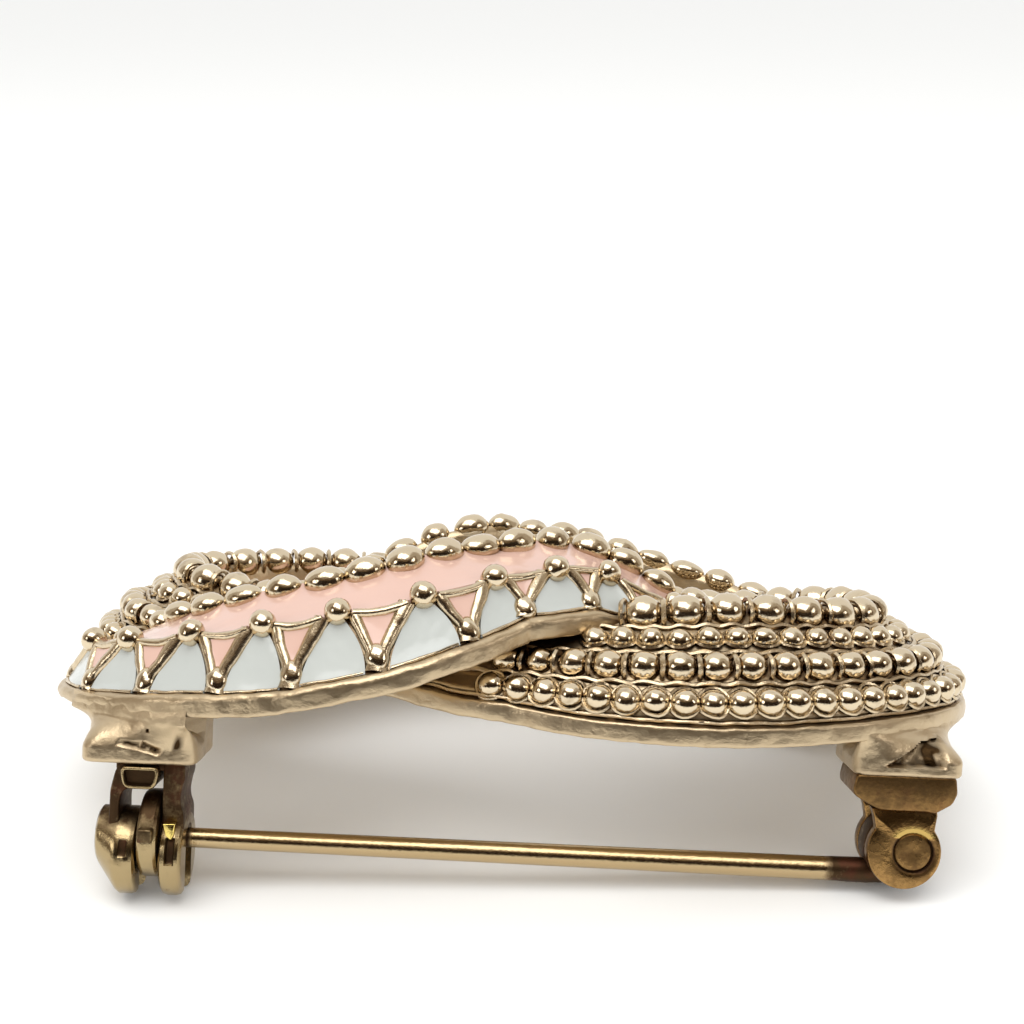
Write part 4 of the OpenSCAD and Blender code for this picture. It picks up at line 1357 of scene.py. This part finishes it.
class BROOCH_OT_catch(bpy.types.Operator):
    """Builds the catch and its turning lock"""
    bl_idname = "brooch.catch"
    bl_label = "Catch"

    def execute(self, context):
        findings = context.scene.brooch_findings
        edge = findings.edge_radius / MM
        brass = browned_brass("browned_catch_brass", findings.catch_metal, findings.tarnish,
                              findings.bare_brass_and_highlight, findings.heat)
        fixed, turning = Casting(), Casting()
        catch_parts(fixed, edge)
        lock_parts(turning, edge)
        dress(fixed.mesh_object("catch", 35), brass, "root", "fitting_metal", "catch_body")
        dress(turning.mesh_object("lock", 35), brass, "lock", "fitting_metal", "catch_lock")
        return {"FINISHED"}


class BROOCH_OT_hinge(bpy.types.Operator):
    """Builds the hinge's base, its lugs and its rivet"""
    bl_idname = "brooch.hinge"
    bl_label = "Hinge"

    def execute(self, context):
        findings = context.scene.brooch_findings
        brass = browned_brass("browned_hinge_brass", findings.hinge_metal, findings.tarnish,
                              findings.bare_brass_and_highlight, findings.heat)
        base, rivet = Casting(), Casting()
        hinge_parts(base, findings.edge_radius / MM)
        rivet_parts(rivet)
        dress(base.mesh_object("hinge", 35), brass, "root", "fitting_metal", "hinge_base")
        dress(rivet.mesh_object("rivet", 35), brass, "root", "fitting_metal", "hinge_rivet")
        return {"FINISHED"}


class BROOCH_OT_pin(bpy.types.Operator):
    """Builds the pin with its knuckle and point"""
    bl_idname = "brooch.pin"
    bl_label = "Pin"

    def execute(self, context):
        findings = context.scene.brooch_findings
        brass = browned_brass("polished_drawn_brass", findings.wire, findings.tarnish,
                              findings.bare_brass_and_highlight, findings.heat)
        casting = Casting()
        pin_parts(casting, findings.edge_radius / MM)
        dress(casting.mesh_object("pin_with_knuckle", 35), brass, "pin", "pin_metal", "pin_stem")
        return {"FINISHED"}


class BROOCH_OT_stage(bpy.types.Operator):
    """Sets the pale floor, the soft studio light and the camera"""
    bl_idname = "brooch.stage"
    bl_label = "Stage"

    def execute(self, context):
        studio = context.scene.brooch_studio
        floor_mesh = bpy.data.meshes.new("floor")
        reach = 3.0
        floor_mesh.from_pydata([(-reach, -reach, 0), (reach, -reach, 0), (reach, reach, 0),
                                (-reach, reach, 0)], [], [(0, 1, 2, 3)])
        floor = bpy.data.objects.new("floor", floor_mesh)
        context.scene.collection.objects.link(floor)
        material, tree, surface = new_material("pale_floor")
        shader = put(tree, "ShaderNodeBsdfPrincipled", {
            "Base Color": studio.floor, "Roughness": 0.8})
        tree.links.new(shader.outputs["BSDF"], surface.inputs["Surface"])
        floor_mesh.materials.append(material)
        set_lights(context, studio)
        set_camera(context, studio)
        return {"FINISHED"}


# The camera's place in millimetres of the flat brooch, and its turns in degrees
CAMERA_PLACE = (-0.38, -92.0, 14.8)
CAMERA_PITCH = -2.7
CAMERA_ROLL = -0.5
# Name, place in metres, width, depth and watts of each soft box
LIGHT_BOXES = (
    ("top_box", (-0.06, -0.12, 0.42), 0.46, 0.24, 0.95),
    ("left_box", (-0.34, -0.22, 0.18), 0.12, 0.12, 0.16),
    ("right_box", (0.36, -0.18, 0.22), 0.12, 0.12, 0.14),
)
# Name, distance in metres, and half angle and height in degrees of each dim card of the room
ROOM_CARDS = (
    ("dark_corner", 0.50, 52, 34),
    ("brown_wall", 0.54, 84, 47),
    ("grey_wall", 0.58, 112, 62),
)


def set_lights(context, studio):
    """Soft boxes round the brooch and a pale room with a dim side."""
    world = bpy.data.worlds.new("pale_room")
    context.scene.world = world
    world.use_nodes = True
    background = world.node_tree.nodes["Background"]
    background.inputs["Color"].default_value = (1, 1, 1, 1)
    background.inputs["Strength"].default_value = studio.room_light
    for name, place, width, depth, power in LIGHT_BOXES:
        light = bpy.data.lights.new(name, "AREA")
        light.shape = "RECTANGLE"
        light.size, light.size_y = width, depth
        light.energy = power
        lamp = bpy.data.objects.new(name, light)
        lamp.location = place
        lamp.rotation_euler = Vector(place).to_track_quat("Z", "Y").to_euler()
        context.scene.collection.objects.link(lamp)
    for name, reach, half_angle, high in ROOM_CARDS:
        room_card(context, name, reach, half_angle, high, getattr(studio, name))


def room_card(context, name, reach, half_angle, high, glow):
    """A curved card behind the camera, seen only in reflections: a dim part of the room."""
    columns, rows = 33, 11
    turns = np.radians(np.linspace(-90 - half_angle, half_angle - 90, columns))
    points = [(reach * math.cos(rise) * math.cos(turn), reach * math.cos(rise) * math.sin(turn),
               reach * math.sin(rise))
              for rise in np.radians(np.linspace(1, high, rows)) for turn in turns]
    faces = [(r * columns + k, r * columns + k + 1, (r + 1) * columns + k + 1,
              (r + 1) * columns + k) for r in range(rows - 1) for k in range(columns - 1)]
    mesh = bpy.data.meshes.new(name)
    mesh.from_pydata(points, [], faces)
    card = bpy.data.objects.new(name, mesh)
    context.scene.collection.objects.link(card)
    material, tree, surface = new_material(name)
    shader = put(tree, "ShaderNodeEmission", {"Color": glow, "Strength": 1.0})
    tree.links.new(shader.outputs["Emission"], surface.inputs["Surface"])
    mesh.materials.append(material)
    card.visible_camera = card.visible_diffuse = card.visible_shadow = False


def set_camera(context, studio):
    """The camera at the photograph's angle to the brooch."""
    pitch, roll = math.radians(CAMERA_PITCH), math.radians(CAMERA_ROLL)
    lens = bpy.data.cameras.new("camera")
    lens.lens = studio.lens
    lens.sensor_width = 36
    lens.clip_start = 0.005
    lens.clip_end = 20
    camera = bpy.data.objects.new("camera", lens)
    camera.location = settle([CAMERA_PLACE])[0]
    look = TURN @ Vector((0, math.cos(pitch), math.sin(pitch)))
    camera.rotation_euler = (look.to_track_quat("-Z", "Y")
                             @ Quaternion((0, 0, 1), roll)).to_euler()
    context.scene.collection.objects.link(camera)
    context.scene.camera = camera
    context.scene.view_settings.view_transform = "Standard"


class BROOCH_PT_panel(bpy.types.Panel):
    bl_idname = "BROOCH_PT_panel"
    bl_label = "Oval brooch"
    bl_space_type = "VIEW_3D"
    bl_region_type = "UI"
    bl_category = "Brooch"

    def draw(self, context):
        for group in SETTINGS:
            for name in group.__annotations__:
                self.layout.prop(getattr(context.scene, SETTINGS[group]), name)
        for operator in OPERATORS:
            self.layout.operator(operator.bl_idname)


SETTINGS = {
    BroochCasting: "brooch_casting",
    BroochEnamel: "brooch_enamel",
    BroochFindings: "brooch_findings",
    BroochStudio: "brooch_studio",
}
OPERATORS = (
    BROOCH_OT_stage,
    BROOCH_OT_beaded_band,
    BROOCH_OT_enamelled_band,
    BROOCH_OT_posts,
    BROOCH_OT_enamel,
    BROOCH_OT_catch,
    BROOCH_OT_hinge,
    BROOCH_OT_pin,
)


def register():
    for kind in (*SETTINGS, *OPERATORS, BROOCH_PT_panel):
        bpy.utils.register_class(kind)
    for kind, name in SETTINGS.items():
        setattr(bpy.types.Scene, name, PointerProperty(type=kind))


def unregister():
    for name in SETTINGS.values():
        delattr(bpy.types.Scene, name)
    for kind in reversed((*SETTINGS, *OPERATORS, BROOCH_PT_panel)):
        bpy.utils.unregister_class(kind)


def main():
    register()
    bpy.ops.brooch.stage()
    bpy.ops.brooch.beaded_band()
    bpy.ops.brooch.enamelled_band()
    bpy.ops.brooch.posts()
    bpy.ops.brooch.enamel()
    bpy.ops.brooch.catch()
    bpy.ops.brooch.hinge()
    bpy.ops.brooch.pin()


if __name__ == "__main__":
    main()
